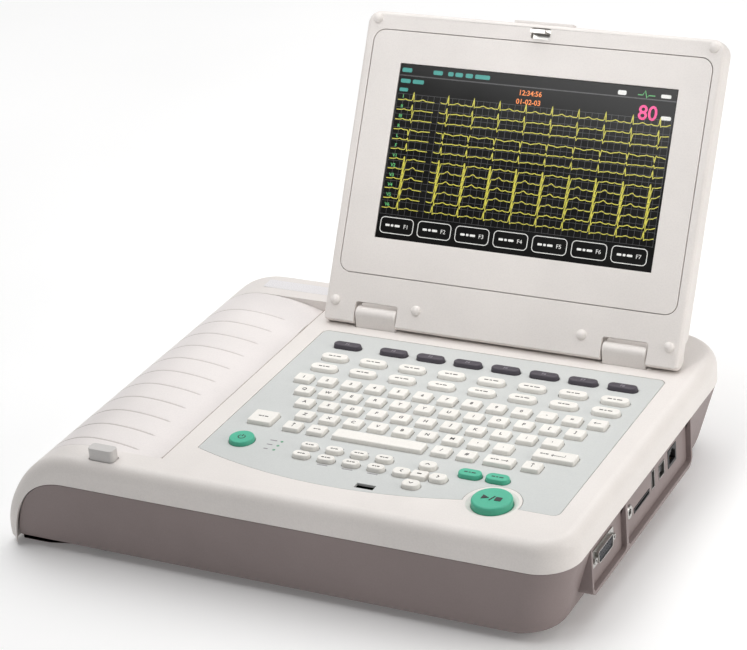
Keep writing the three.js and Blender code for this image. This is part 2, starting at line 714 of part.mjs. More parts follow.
// A rectangular socket through the connector panel, with a tongue standing in its mouth.
function socket(key, width, height, roomWidth, roomHeight, tongueWidth, tongueHeight, tongueInset) {
  const y = connectorY[key];
  const z = connectorZ[key];
  const front = panelFaceX + 0.2;
  const body = atPanel(width, height, y, z, front - 14, front);
  const room = atPanel(roomWidth, roomHeight, y, z, front - 11, 230);
  if (tongueWidth === 0) return cut(body, room);
  const tongue = atPanel(tongueWidth, tongueHeight, y, z, front - 12, front - tongueInset);
  return join(cut(body, room), tongue);
}

function lanPort() {
  const body = socket('lan', 16, 14, 12, 8.6, 0, 0, 0);
  const clipRoom = atPanel(6, 3, connectorY.lan, connectorZ.lan + 5.4, panelFaceX - 10.8, 230);
  return cut(body, clipRoom);
}

function auxJack() {
  const body = bar('X', 5, connectorY.aux, connectorZ.aux, 201, panelFaceX + 1.2, 5);
  const room = bar('X', 3.8, connectorY.aux, connectorZ.aux, 206, 230, 5);
  return join(cut(body, room), bar('X', 1.1, connectorY.aux, connectorZ.aux, 205, panelFaceX - 5, 2));
}

function mainsInlet() {
  const { x, z, width, height } = inlet;
  const face = bodyHalfY + 0.2;
  const flange = prism(roundedRect(48, 27, 4, x, z), 'Y', face, face + 2.4, 2);
  const body = prism(rectangle(width, height, x, z), 'Y', face - 19, face + 1);
  const room = prism(roundedRect(24.4, 16.6, 3, x, z), 'Y', face - 16, 180, 2);
  const pin = (dx, dz) => box([x + dx - 1, face - 17, z + dz - 2], [x + dx + 1, face - 6, z + dz + 2]);
  return join(cut(join(flange, body), room), pin(-7, -2), pin(7, -2), pin(0, 2));
}

// ---------------------------------------------------------------- lid, in its own frame
// Local axes: X as the body, Y through the lid from front to back, Z up the lid from the hinge.
function lidOutline(inset, low) {
  const width = 2 * (lidHalfX - inset);
  const height = lidTop - inset - low;
  return roundedRect(width, height, 10 - inset, lidCentreX, low + height / 2);
}

function lidFrame() {
  const profile = new THREE.Shape();
  const frontDrop = -Math.sqrt(lidBarrel ** 2 - lidFront ** 2);
  const backRise = Math.sqrt(lidBarrel ** 2 - lidSplit ** 2);
  profile.moveTo(lidFront, lidTop);
  profile.lineTo(lidFront, frontDrop);
  const turn = { from: Math.atan2(frontDrop, lidFront), to: Math.atan2(backRise, lidSplit) };
  profile.absarc(0, 0, lidBarrel, turn.from, turn.to, false);
  profile.lineTo(lidSplit, lidTop);
  profile.closePath();
  const slabX = [lidCentreX - lidHalfX, lidCentreX + lidHalfX];
  const outer = prism(profile, 'X', ...slabX, 8).intersect(prism(lidOutline(0, -12), 'Y', -20, 20, 3));
  const tools = [
    prism(lidOutline(lidWall, 14), 'Y', lidFront + lidWall, 20, 3),
    prism(bezelShape(gap), 'Y', -20, 20, 3),
    box([latchX(-7.5), -20, 217.5], [latchX(7.5), 0, 225.2]),
    box([latchX(-23.8), lidFront + lidWall - 0.3, 220], [latchX(23.8), 4.8, 240]),
    ...knuckleXs.flatMap((x) => [
      box([x - knuckleWidth / 2 - 0.5, -20, -20], [x + knuckleWidth / 2 + 0.5, 20, 8]),
      bar('X', hingePinRadius + gap, 0, 0, x - knuckleWidth / 2 - 7, x + knuckleWidth / 2 + 7, 5),
    ]),
  ];
  return join(cut(outer, ...tools), ...bumpers());
}

function latchX(offset) {
  return lidCentreX + offset;
}

// Soft domes that meet the deck when the lid is shut.
function bumpers() {
  const { height, radius, low, high } = bumper;
  const dome = (x, z) => {
    const foot = bar('Y', radius, x, z, lidFront - height / 2, lidFront + 1, 5);
    return join(foot, bar('Y', radius - 1, x, z, lidFront - height, lidFront, 5));
  };
  return [
    ...[...bumperXs.outer, ...bumperXs.inner].map((x) => dome(x, low)),
    ...bumperXs.outer.map((x) => dome(x, high)),
  ];
}

function bezelShape(margin) {
  const width = bezel.width + 2 * margin;
  const height = bezel.high - bezel.low + 2 * margin;
  const middle = (bezel.high + bezel.low) / 2;
  return roundedRect(width, height, bezel.radius + margin, bezel.x, middle);
}

function screenRect(margin) {
  const height = screen.high - screen.low + 2 * margin;
  return rectangle(screen.width + 2 * margin, height, screen.x, (screen.high + screen.low) / 2);
}

function lidBezel() {
  const plate = prism(bezelShape(0), 'Y', lidFront, lidFront + lidWall, 3);
  return cut(plate, prism(screenRect(gap), 'Y', -20, 20));
}

function lidBackShell() {
  const low = 9.6;
  const profile = new THREE.Shape();
  profile.moveTo(lidSplit + gap, lidTop);
  profile.lineTo(lidSplit + gap, low);
  profile.lineTo(9.8, low);
  profile.lineTo(lidBack, 22);
  profile.lineTo(lidBack, lidTop - 5);
  profile.lineTo(12.5, lidTop);
  profile.closePath();
  const slab = prism(profile, 'X', -140, 260).intersect(prism(lidOutline(0, low), 'Y', 0, 30, 3));
  return cut(slab, prism(lidOutline(lidWall, 24), 'Y', 0, lidBack - lidWall, 3));
}

function latchSlider() {
  const plate = box([latchX(-15), -2.1, 216.6], [latchX(15), 1.5, 226.2]);
  const tab = box([latchX(-23.4), -2.1, 225.9], [latchX(23.4), 4.4, lidTop + 2]);
  const hook = box([latchX(-6), -11, latchZ - 1.4], [latchX(6), -2, latchZ + 0.6]);
  const nose = box([latchX(-6), -11.5, latchZ - 1.4], [latchX(6), -9.5, latchZ + 1.6]);
  return join(plate, tab, hook, nose);
}

function knuckle(x) {
  const shape = new THREE.Shape();
  shape.moveTo(lidAxis.y + knuckleRadius, 72);
  shape.lineTo(lidAxis.y + knuckleRadius, lidAxis.z);
  shape.absarc(lidAxis.y, lidAxis.z, knuckleRadius, 0, Math.PI, false);
  shape.lineTo(lidAxis.y - knuckleRadius, 72);
  shape.closePath();
  const x0 = x - knuckleWidth / 2;
  const x1 = x + knuckleWidth / 2;
  const body = prism(shape, 'X', x0, x1, 8);
  const flange = box([x0 - 3, lidAxis.y - 9, 72], [x1 + 3, lidAxis.y + 9, 75]);
  return cut(join(body, flange), bar('X', hingePinRadius + gap, lidAxis.y, lidAxis.z, x0 - 1, x1 + 1, 5));
}

// ---------------------------------------------------------------- keys
function keyCap(key) {
  return prism(keyShape(key), 'Z', keyWebHigh - 1, keyTop, keyCornerSteps);
}

// The caps of one row share a rubber strip under the panel, which carries and retains them.
function keyRowSolid(keys) {
  const reach = (center, size, side) => keys.map((key) => key[center] + side * (key[size] / 2 + 1));
  const low = [Math.min(...reach('x', 'width', -1)), Math.min(...reach('y', 'depth', -1)), keyWebLow];
  const high = [Math.max(...reach('x', 'width', 1)), Math.max(...reach('y', 'depth', 1)), keyWebHigh];
  return join(box(low, high), ...keys.map(keyCap));
}

function startButton() {
  const { x, y, radius } = startKey;
  const cap = bar('Z', radius, x, y, keyWebLow, keyTop + 0.8, 10);
  return join(cap, bar('Z', radius + 2, x, y, keyWebLow, keyWebLow + 1, 10));
}

function keypadPanel() {
  const shape = panelShape(0);
  const plate = prism(shape, 'Z', panelTop - panelThickness, panelTop, 8);
  const holes = Object.values(keypad).flat()
    .map((key) => prism(keyShape(key, keyHoleGap), 'Z', 70, 90, keyCornerSteps));
  const slot = rectangle(latchSlot.width, latchSlot.depth, latchSlot.x, latchSlot.y);
  return cut(plate, join(...holes), prism(slot, 'Z', 70, 90));
}

// ---------------------------------------------------------------- assembly
function addCasings() {
  part('base_shell', baseShell(), paint.shellGrey);
  part('top_shell', topShell(), paint.shellWhite);
  part('keypad_panel', keypadPanel(), paint.panelGrey);
  Object.entries(feet).forEach(([place, [x, y]]) => {
    part(`foot_${place}`, bar('Z', footRadius, x, y, 0, undersideZ - gap, 6), paint.rubber);
  });
  const [doorX, doorY] = batteryBay.low;
  const [doorBackX, doorBackY] = batteryBay.high;
  const doorTop = undersideZ + batteryDoorThickness;
  const door = box([doorX, doorY, undersideZ], [doorBackX, doorBackY, doorTop]);
  part('battery_door', door, paint.shellGrey);
}

function addElectronics() {
  const keypadBoard = box([-68, -108, keypadBoardZ], [190, 70, keypadBoardZ + 1.5]);
  part('keypad_board', keypadBoard, paint.board);
  const chips = [[-20, -60, 26], [60, -20, 30], [120, -80, 20]]
    .map(([x, y, size]) => box([x, y, 15], [x + size, y + size, 18]));
  const mainBoard = box([-70, -120, mainBoardZ], [192, 62, mainBoardZ + boardThickness]);
  part('main_board', join(mainBoard, ...chips), paint.board);
  part('power_supply', box([-66, 72, mainBoardZ], [60, 138, 50]), paint.steel);
  const [batteryX, batteryY] = batteryBay.low;
  const [batteryBackX, batteryBackY] = batteryBay.high;
  const pack = box([batteryX + 2, batteryY + 2, 9.2], [batteryBackX - 2, batteryBackY - 2, 36]);
  part('battery_pack', pack, paint.battery);
}

function addPrinter() {
  part('printer_chassis', printerChassis(), paint.blackPlastic);
  part('thermal_print_head', printHead(), paint.blackPlastic);
  part('stepper_motor', stepperMotor(), paint.steel);
  part('motor_pinion', shaftGear(pinionGear, 93.5, 111), paint.brass);
  part('idler_gear', shaftGear(idlerGear, 88.6, 102.8), paint.gearWhite);
  const roller = bar('Y', platen.radius, platen.x, platen.z, platen.front, platen.back, 8);
  const shaft = bar('Y', platen.shaft, platen.x, platen.z, platen.front - 3.9, gearFace.back + 1, 5);
  part('platen_roller', join(roller, shaft), paint.rubber);
  const platenWheel = gearShape(platenGear.teeth, platenGear.phase, platen.shaft + gap);
  part('platen_gear', gearAt(platenWheel, platenGear.centre), paint.gearWhite);
  part('paper_roll', paperRoll(), paint.paperWhite);
  part('paper_core', paperCore(), paint.blackPlastic);
  part('printer_cover', printerCover(), paint.coverWhite);
  const rod = bar('Y', coverHinge.rod, coverHinge.x, coverHinge.z, -140.5, 125.5, 4);
  part('cover_hinge_rod', rod, paint.steel);
  part('release_button', releaseKey(), paint.shellWhite);
  part('release_spring', coilSpring(releaseButton.x, releaseButton.y, 43.9, 59.7, 3, 0.5, 5), paint.steel);
}

function addConnectors() {
  part('ecg_connector', ecgConnector(), paint.steel);
  part('aux_jack', auxJack(), paint.steel);
  part('card_slot', socket('card', 29, 4, 24.5, 2.4, 0, 0, 0), paint.blackPlastic);
  part('usb_host_port', socket('usbHost', 5.8, 14, 4.6, 12.6, 1.8, 11.4, 1), paint.steel);
  part('usb_device_port', socket('usbDevice', 10.8, 10.8, 8.8, 8.2, 5.4, 3, 5), paint.steel);
  part('lan_port', lanPort(), paint.blackPlastic);
  part('mains_inlet', mainsInlet(), paint.blackPlastic);
}

function addLid() {
  knuckleXs.forEach((x, i) => {
    const side = ['left', 'right'][i];
    part(`hinge_knuckle_${side}`, knuckle(x), paint.shellWhite);
    const reach = knuckleWidth / 2 + 6;
    const pin = bar('X', hingePinRadius, lidAxis.y, lidAxis.z, x - reach, x + reach, 5);
    part(`hinge_pin_${side}`, pin, paint.steel);
  });
  part('lid_frame', lidFrame(), paint.shellWhite, lidGroup);
  part('lid_bezel', lidBezel(), paint.shellWhite, lidGroup);
  part('lid_back', lidBackShell(), paint.shellWhite, lidGroup);
  const glass = prism(screenRect(0), 'Y', lidFront + 0.5, lidFront + lidWall);
  part('display_window', glass, paint.glass, lidGroup);
  part('display_panel', prism(screenRect(7), 'Y', lidFront + lidWall + gap, 5), paint.display, lidGroup);
  part('latch_slider', latchSlider(), paint.steel, lidGroup);
}

function addKeys() {
  const dark = ['function_keys'];
  const green = ['mode_key', 'copy_key', 'power_key'];
  Object.entries(keypad).forEach(([name, keys]) => {
    const color = dark.includes(name) ? paint.keyDark : paint.keyWhite;
    part(name, keyRowSolid(keys), green.includes(name) ? paint.keyGreen : color);
  });
  part('start_key', startButton(), paint.keyGreen);
}

addCasings();
addElectronics();
addPrinter();
addConnectors();
addLid();
addKeys();

export default group;
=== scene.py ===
"""The look of a portable ECG machine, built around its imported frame.

Shapes are worked out in millimetres, in the body's or the lid's own coordinates. Each piece is
scaled to metres and moved into the shared frame when it is made.
"""

import json
import math
from contextlib import contextmanager

import bmesh
import bpy
import numpy as np
from mathutils import Euler, Matrix, Vector


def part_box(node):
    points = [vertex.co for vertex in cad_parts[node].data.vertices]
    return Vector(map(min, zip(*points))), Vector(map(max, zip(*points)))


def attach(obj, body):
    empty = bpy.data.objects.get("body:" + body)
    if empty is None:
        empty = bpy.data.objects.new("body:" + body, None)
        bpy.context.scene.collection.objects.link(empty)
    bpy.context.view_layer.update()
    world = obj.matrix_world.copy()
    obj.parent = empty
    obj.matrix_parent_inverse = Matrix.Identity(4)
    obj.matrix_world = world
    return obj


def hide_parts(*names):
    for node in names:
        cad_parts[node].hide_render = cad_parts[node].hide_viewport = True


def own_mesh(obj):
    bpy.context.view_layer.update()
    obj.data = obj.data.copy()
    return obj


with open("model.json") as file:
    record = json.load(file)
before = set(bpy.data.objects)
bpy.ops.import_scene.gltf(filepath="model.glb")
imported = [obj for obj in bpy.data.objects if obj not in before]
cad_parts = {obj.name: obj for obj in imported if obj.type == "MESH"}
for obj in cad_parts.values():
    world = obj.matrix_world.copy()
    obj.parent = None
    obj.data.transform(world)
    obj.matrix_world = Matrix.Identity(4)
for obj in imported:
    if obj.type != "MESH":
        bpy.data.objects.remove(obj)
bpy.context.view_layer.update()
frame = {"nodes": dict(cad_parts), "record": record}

record = frame["record"]
BODY_OF = {node: body for body, nodes in record["behaviour"]["bodies"].items() for node in nodes}
MM = 0.001
STEPS = 10  # points on a quarter turn of an outline
SAME_POINT = 0.004  # points closer than this are one point
SHARP_ANGLE = 34  # edges between faces at a wider angle stay sharp


# ------------------------------------------------------------------ places taken from the frame
def cad_points(node, place=Matrix.Identity(4)):
    """The vertices of a CAD node, in millimetres, in a place's own coordinates."""
    back = place.inverted()
    return np.array([back @ (v.co / MM) for v in frame["nodes"][node].data.vertices])


def extent(node, place=Matrix.Identity(4)):
    points = cad_points(node, place)
    return points.min(0), points.max(0)


shell_low, shell_high = extent("top_shell")
BODY = Matrix.Translation((0, (shell_low[1] + shell_high[1]) / 2, 0))
pin_low, pin_high = extent("hinge_pin_left", BODY)
HINGE_Y = (pin_low[1] + pin_high[1]) / 2
HINGE_Z = (pin_low[2] + pin_high[2]) / 2
LID_TILT = math.radians(-29.4)
LID = BODY @ Matrix.Translation((0, HINGE_Y, HINGE_Z)) @ Matrix.Rotation(LID_TILT, 4, "X")

HALF_X = shell_high[0]
HALF_Y = (shell_high[1] - shell_low[1]) / 2
DECK_Z = shell_high[2]
FOOT_Z = shell_low[2]
SEAM_Z = 59.5
GAP = 0.35  # clearance between neighbouring parts
WALL = 3.0
CREST_WIDTH = 9.3  # how far the rounded edge of the deck reaches in
CREST_DROP = 11.0  # and how far it falls
CORNERS = {"front_left": 9, "front_right": 28, "back_right": 44, "back_left": 26}
LEFT_END = [(-HALF_X, FOOT_Z), (-214, 48), (-190, DECK_Z), (-150, DECK_Z)]
LEFT_SEAM = [(-210, FOOT_Z), (-206, 38), (-192, SEAM_Z), (-160, SEAM_Z)]
RISE = (-192, -162)  # where the underside rises from the left foot to its own height
FAR_LEFT = -230  # clear of the left end, for cutting tools
OVER = 90  # clear of the deck, for cutting tools


def middle_of(node, place=BODY):
    low, high = extent(node, place)
    return (low + high) / 2


# ------------------------------------------------------------------ solids: (points, faces)
def bezier(controls, t):
    a, b, c, d = (np.array(p, float) for p in controls)
    s = 1 - t
    return a * s ** 3 + 3 * b * s * s * t + 3 * c * s * t * t + d * t ** 3


def curve_points(controls, steps, start=0.0, end=1.0):
    return [bezier(controls, start + (end - start) * i / steps) for i in range(steps + 1)]


def normals_of(line):
    """Unit normals to the left of an open line of 2D points."""
    line = np.array(line)
    along = np.gradient(line, axis=0)
    along /= np.linalg.norm(along, axis=1)[:, None]
    return np.stack([-along[:, 1], along[:, 0]], axis=1)


def arc(x, y, radius, start, end, steps=STEPS):
    angles = np.radians(np.linspace(start, end, steps + 1))
    return [(x + radius * math.cos(a), y + radius * math.sin(a)) for a in angles]


def rounded_rect(x, y, width, depth, radius, steps=STEPS):
    """Anticlockwise outline. The radius is one number or four, from the lower left round."""
    radii = [radius] * 4 if np.isscalar(radius) else list(radius)
    limit = min(width, depth) / 2 - 1e-3
    outline = []
    for (sx, sy, start), r in zip([(-1, -1, 180), (1, -1, 270), (1, 1, 0), (-1, 1, 90)], radii):
        r = min(r, limit)
        a, b = x + sx * (width / 2 - r), y + sy * (depth / 2 - r)
        outline += arc(a, b, r, start, start + 90, steps)
    return outline


def rect_between(left, right, low, high, radius, steps=STEPS):
    """A rounded rectangle from its four sides."""
    x, y = (left + right) / 2, (low + high) / 2
    return rounded_rect(x, y, right - left, high - low, radius, steps)


def loft(rings):
    """Joins closed rings of equal count, in order, with flat ends."""
    count = len(rings[0])
    points = [tuple(p) for ring in rings for p in ring]
    faces = []
    for level in range(len(rings) - 1):
        for i in range(count):
            a = level * count + i
            b = level * count + (i + 1) % count
            faces.append((a, b, b + count, a + count))
    faces.append(tuple(range(count))[::-1])
    faces.append(tuple(range((len(rings) - 1) * count, len(rings) * count)))
    return points, faces


AXES = {
    "X": lambda a, b, c: (c, a, b),
    "Y": lambda a, b, c: (a, c, b),
    "Z": lambda a, b, c: (a, b, c),
}


def prism(outline, low, high, axis="Z"):
    """An outline drawn in YZ for X, in XZ for Y and in XY for Z, carried along the axis."""
    place = AXES[axis]
    return loft([[place(a, b, c) for a, b in outline] for c in (low, high)])


def turned(profile, a, b, axis="Z", steps=40):
    """A round solid from (radius, height) points, about an axis through (a, b)."""
    place = AXES[axis]
    angles = [2 * math.pi * i / steps for i in range(steps)]
    return loft([
        [place(a + r * math.cos(t), b + r * math.sin(t), h) for t in angles] for r, h in profile
    ])


def block(low, high):
    outline = [(low[0], low[1]), (high[0], low[1]), (high[0], high[1]), (low[0], high[1])]
    return prism(outline, low[2], high[2])


def together(*solids):
    points, faces = [], []
    for solid_points, solid_faces in solids:
        start = len(points)
        points += [tuple(p) for p in solid_points]
        faces += [tuple(i + start for i in face) for face in solid_faces]
    return points, faces


@contextmanager
def edited(mesh):
    """A mesh opened for editing, and written back at the end."""
    work = bmesh.new()
    work.from_mesh(mesh)
    yield work
    work.to_mesh(mesh)
    work.free()


def cleaned(mesh):
    with edited(mesh) as work:
        bmesh.ops.remove_doubles(work, verts=work.verts, dist=SAME_POINT)
        bmesh.ops.dissolve_degenerate(work, edges=work.edges, dist=SAME_POINT)
        bmesh.ops.recalc_face_normals(work, faces=work.faces)


def mesh_from(name, solid):
    mesh = bpy.data.meshes.new(name)
    mesh.from_pydata([tuple(p) for p in solid[0]], [], [tuple(f) for f in solid[1]])
    cleaned(mesh)
    return mesh


def solid_of(mesh):
    return [tuple(v.co) for v in mesh.vertices], [tuple(p.vertices) for p in mesh.polygons]


def put(name, data):
    """Makes an object and puts it in the scene."""
    thing = bpy.data.objects.new(name, data)
    bpy.context.scene.collection.objects.link(thing)
    return thing


def solid_from(thing):
    """The shape of a curve, or of a mesh with its modifiers, as a solid."""
    bpy.context.view_layer.update()
    shown = thing.evaluated_get(bpy.context.evaluated_depsgraph_get())
    solid = solid_of(shown.to_mesh())
    shown.to_mesh_clear()
    return solid


def filled(curve):
    """The solid that a filled curve makes. The curve goes."""
    thing = put(curve.name, curve)
    solid = solid_from(thing)
    bpy.data.objects.remove(thing)
    bpy.data.curves.remove(curve)
    return solid


def carve(solid, *tools, operation="DIFFERENCE"):
    """Cuts tools from a solid, or joins or intersects them, one after another."""
    for tool in tools:
        body = put("scratch", mesh_from("scratch", solid))
        cutter = put("scratch", mesh_from("scratch", tool))
        change = body.modifiers.new("carve", "BOOLEAN")
        change.object = cutter
        change.operation = operation
        change.solver = "MANIFOLD"
        solid = solid_from(body)
        for thing in (body, cutter):
            mesh = thing.data
            bpy.data.objects.remove(thing)
            bpy.data.meshes.remove(mesh)
    return solid


def plate(outline, holes, low, high, edge=0.3, axis="Z"):
    """A flat plate with holes and rounded edges."""
    curve = bpy.data.curves.new("plate", "CURVE")
    curve.dimensions = "2D"
    curve.fill_mode = "BOTH"
    curve.bevel_resolution = 1
    curve.bevel_depth = edge
    curve.offset = -edge
    curve.extrude = (high - low) / 2 - edge
    for path in [outline, *holes]:
        spline = curve.splines.new("POLY")
        spline.points.add(len(path) - 1)
        for point, (a, b) in zip(spline.points, path):
            point.co = (a, b, 0, 1)
        spline.use_cyclic_u = True
    points, faces = filled(curve)
    place = AXES[axis]
    middle = (low + high) / 2
    return [place(a, b, c + middle) for a, b, c in points], faces


# ------------------------------------------------------------------ pieces
def join_flat_faces(mesh, angle=0.05):
    with edited(mesh) as work:
        bmesh.ops.dissolve_limit(
            work, angle_limit=math.radians(angle), verts=work.verts, edges=work.edges,
        )


def bevel_edges(mesh, width, angle):
    """Rounds the edges where faces meet at more than an angle."""
    with edited(mesh) as work:
        limit = math.radians(angle)
        edges = [e for e in work.edges if len(e.link_faces) == 2 and e.calc_face_angle(0) > limit]
        bmesh.ops.bevel(
            work, geom=edges, offset=width, offset_type="OFFSET", segments=2, profile=0.5,
            affect="EDGES", clamp_overlap=False,
        )
        bmesh.ops.remove_doubles(work, verts=work.verts, dist=0.01)
        bmesh.ops.dissolve_degenerate(work, edges=work.edges, dist=0.005)


def piece(name, solid, material, home, stands_in=True, slot=None, place=BODY,
          edge=0.0, angle=40, cuts=()):
    """Makes a piece from a solid, on the body of its CAD node.

    An edge above zero softens the edges. Cuts are solids taken out after that. The slot is not
    used.
    """
    mesh = mesh_from(name, solid)
    if edge:
        join_flat_faces(mesh)
        bevel_edges(mesh, edge, angle)
    if cuts:
        points, faces = carve(solid_of(mesh), *cuts)
        mesh.clear_geometry()
        mesh.from_pydata(points, [], faces)
        cleaned(mesh)
        join_flat_faces(mesh)
    mesh.transform(Matrix.Scale(MM, 4) @ place)
    for polygon in mesh.polygons:
        polygon.use_smooth = True
    mesh.set_sharp_from_angle(angle=math.radians(SHARP_ANGLE))
    mesh.materials.append(material)
    thing = put(name, mesh)
    thing.modifiers.new("even normals", "WEIGHTED_NORMAL").keep_sharp = True
    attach(thing, BODY_OF[home])
    if stands_in:
        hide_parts(home)
    return thing


def detail(name, solids, material, home, **choices):
    """A piece that goes with the one that stands in for its CAD node."""
    return piece(name, together(*solids), material, home, stands_in=False, **choices)


def cad_solid(node, place=BODY):
    """A CAD node's own shape as a solid, with its flat facets joined."""
    mesh = frame["nodes"][node].data.copy()
    work = bmesh.new()
    work.from_mesh(mesh)
    work.transform(place.inverted() @ Matrix.Scale(1 / MM, 4))
    bmesh.ops.remove_doubles(work, verts=work.verts, dist=SAME_POINT)
    bmesh.ops.dissolve_limit(
        work, angle_limit=math.radians(1), verts=work.verts, edges=work.edges,
    )
    work.verts.index_update()
    solid = [tuple(v.co) for v in work.verts], [tuple(v.index for v in f.verts) for f in work.faces]
    work.free()
    bpy.data.meshes.remove(mesh)
    return solid


def refined(node, material, edge=0.25, place=BODY):
    """The CAD node's own shape with its edges softened."""
    solid = cad_solid(node, place)
    return piece(f"{node}_body", solid, material, node, place=place, edge=edge, angle=44)


# ------------------------------------------------------------------ materials
class Shader:
    """A node material, put together from small procedural parts in object coordinates."""

    def __init__(self, name, roughness=0.45, metallic=0.0):
        self.material = bpy.data.materials.new(name)
        self.material.use_nodes = True
        self.tree = self.material.node_tree
        self.surface = self.tree.nodes["Principled BSDF"]
        self.surface.inputs["Roughness"].default_value = roughness
        self.surface.inputs["Metallic"].default_value = metallic
        self.where = self.tree.nodes.new("ShaderNodeTexCoord").outputs["Object"]

    def node(self, kind, **values):
        node = self.tree.nodes.new(kind)
        for key, value in values.items():
            if key in node.inputs:
                node.inputs[key].default_value = value
            else:
                setattr(node, key, value)
        return node

    def link(self, source, target):
        self.tree.links.new(source, target)

    def noise(self, scale, detail=3.0, stretch=(1, 1, 1), roughness=0.55):
        mapping = self.node("ShaderNodeMapping")
        mapping.inputs["Scale"].default_value = stretch
        self.link(self.where, mapping.inputs["Vector"])
        noise = self.node("ShaderNodeTexNoise", Scale=scale, Detail=detail, Roughness=roughness)
        self.link(mapping.outputs["Vector"], noise.inputs["Vector"])
        return noise.outputs["Fac"]

    def ramp(self, factor, stops):
        ramp = self.node("ShaderNodeValToRGB")
        elements = ramp.color_ramp.elements
        for element, (position, color) in zip(elements, (stops[0], stops[-1])):
            element.position = position
            element.color = (*color, 1)
        for position, color in stops[1:-1]:
            element = elements.new(position)
            element.color = (*color, 1)
        self.link(factor, ramp.inputs["Fac"])
        return ramp.outputs["Color"]

    def spread(self, factor, low, high):
        spread = self.node("ShaderNodeMapRange")
        spread.inputs["To Min"].default_value = low
        spread.inputs["To Max"].default_value = high
        self.link(factor, spread.inputs["Value"])
        return spread.outputs["Result"]

    def mix(self, factor, first, second, blend="MIX"):
        mix = self.node("ShaderNodeMix", data_type="RGBA", blend_type=blend)
        if isinstance(factor, float):
            mix.inputs["Factor"].default_value = factor
        else:
            self.link(factor, mix.inputs["Factor"])
        self.link(first, mix.inputs["A"])
        self.link(second, mix.inputs["B"])
        return mix.outputs["Result"]

    def bump(self, height, distance, strength=1.0):
        bump = self.node("ShaderNodeBump", Strength=strength, Distance=distance)
        self.link(height, bump.inputs["Height"])
        self.link(bump.outputs["Normal"], self.surface.inputs["Normal"])

    def colored(self, color):
        self.link(color, self.surface.inputs["Base Color"])

    def rough(self, value):
        self.link(value, self.surface.inputs["Roughness"])


def shade(color, amount):
    return tuple(min(1.0, c * amount) for c in color)


def moulded(name, color, roughness=0.42, grain=0.00002, variation=0.05, grooved=False):
    """Moulded plastic: a fine grain, cloudy colour and roughness, a few faint scuffs, and, when
    grooved, painted shade in the engraved grooves.
    """
    look = Shader(name, roughness)
    clouds = look.noise(14, 4)
    tint = look.ramp(clouds, [
        (0.3, shade(color, 1 - variation)), (0.55, color),
        (0.75, shade(color, 1 + variation * 0.5)),
    ])
    speck = look.noise(900, 2)
    fleck = look.ramp(speck, [(0.35, (0.94, 0.94, 0.94)), (0.6, (1, 1, 1))])
    color_out = look.mix(0.6, tint, fleck, "MULTIPLY")
    if grooved:
        # Painted shade in the engraved grooves: a darker brown mixed in where the groove attribute
        # is high.
        marked = look.node("ShaderNodeAttribute", attribute_name="groove").outputs["Fac"]
        groove_shade = look.ramp(speck, [(0.3, (0.5, 0.45, 0.43)), (0.7, (0.56, 0.51, 0.49))])
        color_out = look.mix(marked, color_out, groove_shade)
    look.colored(color_out)
    scuffs = look.noise(60, 6, stretch=(1, 5, 1), roughness=0.7)
    look.rough(look.spread(scuffs, roughness - 0.09, roughness + 0.12))
    look.bump(look.noise(2600, 2), grain, 0.6)
    return look.material


def printed(name, color, roughness=0.5):
    """Ink on plastic, with slightly uneven cover."""
    look = Shader(name, roughness)
    cover = look.noise(1800, 3)
    look.colored(look.ramp(cover, [(0.3, shade(color, 0.8)), (0.7, shade(color, 1.2))]))
    look.rough(look.spread(cover, roughness - 0.05, roughness + 0.1))
    return look.material


def metal(name, color, roughness=0.3, brushed=(1, 1, 1)):
    look = Shader(name, roughness, metallic=1.0)
    lines = look.noise(700, 5, stretch=brushed)
    look.colored(look.ramp(lines, [(0.3, shade(color, 0.82)), (0.7, shade(color, 1.1))]))
    look.rough(look.spread(lines, roughness - 0.1, roughness + 0.16))
    look.bump(lines, 0.00001, 0.5)
    return look.material


def rubber(name, color):
    look = Shader(name, 0.8)
    dust = look.noise(120, 6)
    look.colored(look.ramp(dust, [(0.35, color), (0.7, shade(color, 1.7))]))
    look.rough(look.spread(dust, 0.66, 0.92))
    look.bump(look.noise(1500, 3), 0.00005, 0.8)
    return look.material


def circuit_board(name):
    """Green solder mask over copper tracks, with lighter pads."""
    look = Shader(name, 0.35)
    brick = look.node("ShaderNodeTexBrick", Scale=260)
    brick.inputs["Color1"].default_value = (0.012, 0.13, 0.05, 1)
    brick.inputs["Color2"].default_value = (0.02, 0.19, 0.075, 1)
    brick.inputs["Mortar"].default_value = (0.006, 0.07, 0.03, 1)
    look.link(look.where, brick.inputs["Vector"])
    pads = look.ramp(look.noise(900, 1), [(0.66, (0, 0, 0)), (0.7, (0.35, 0.3, 0.14))])
    look.colored(look.mix(1.0, brick.outputs["Color"], pads, "ADD"))
    look.bump(brick.outputs["Fac"], 0.00003)
    return look.material


def glowing(name, color, strength):
    look = Shader(name, 0.3)
    flicker = look.noise(1200, 2)
    paint = look.ramp(flicker, [(0.3, shade(color, 0.82)), (0.7, color)])
    look.colored(paint)
    look.link(paint, look.surface.inputs["Emission Color"])
    look.surface.inputs["Emission Strength"].default_value = strength
    return look.material


def screen_glass(name):
    """Black glass with faint wiped streaks that only show in its shine."""
    look = Shader(name, 0.12)
    smears = look.noise(25, 5, stretch=(1, 3, 1))
    look.colored(look.ramp(smears, [(0.3, (0.006, 0.006, 0.006)), (0.7, (0.009, 0.009, 0.0085))]))
    look.rough(look.spread(smears, 0.1, 0.24))
    look.surface.inputs["Specular IOR Level"].default_value = 0.2
    return look.material


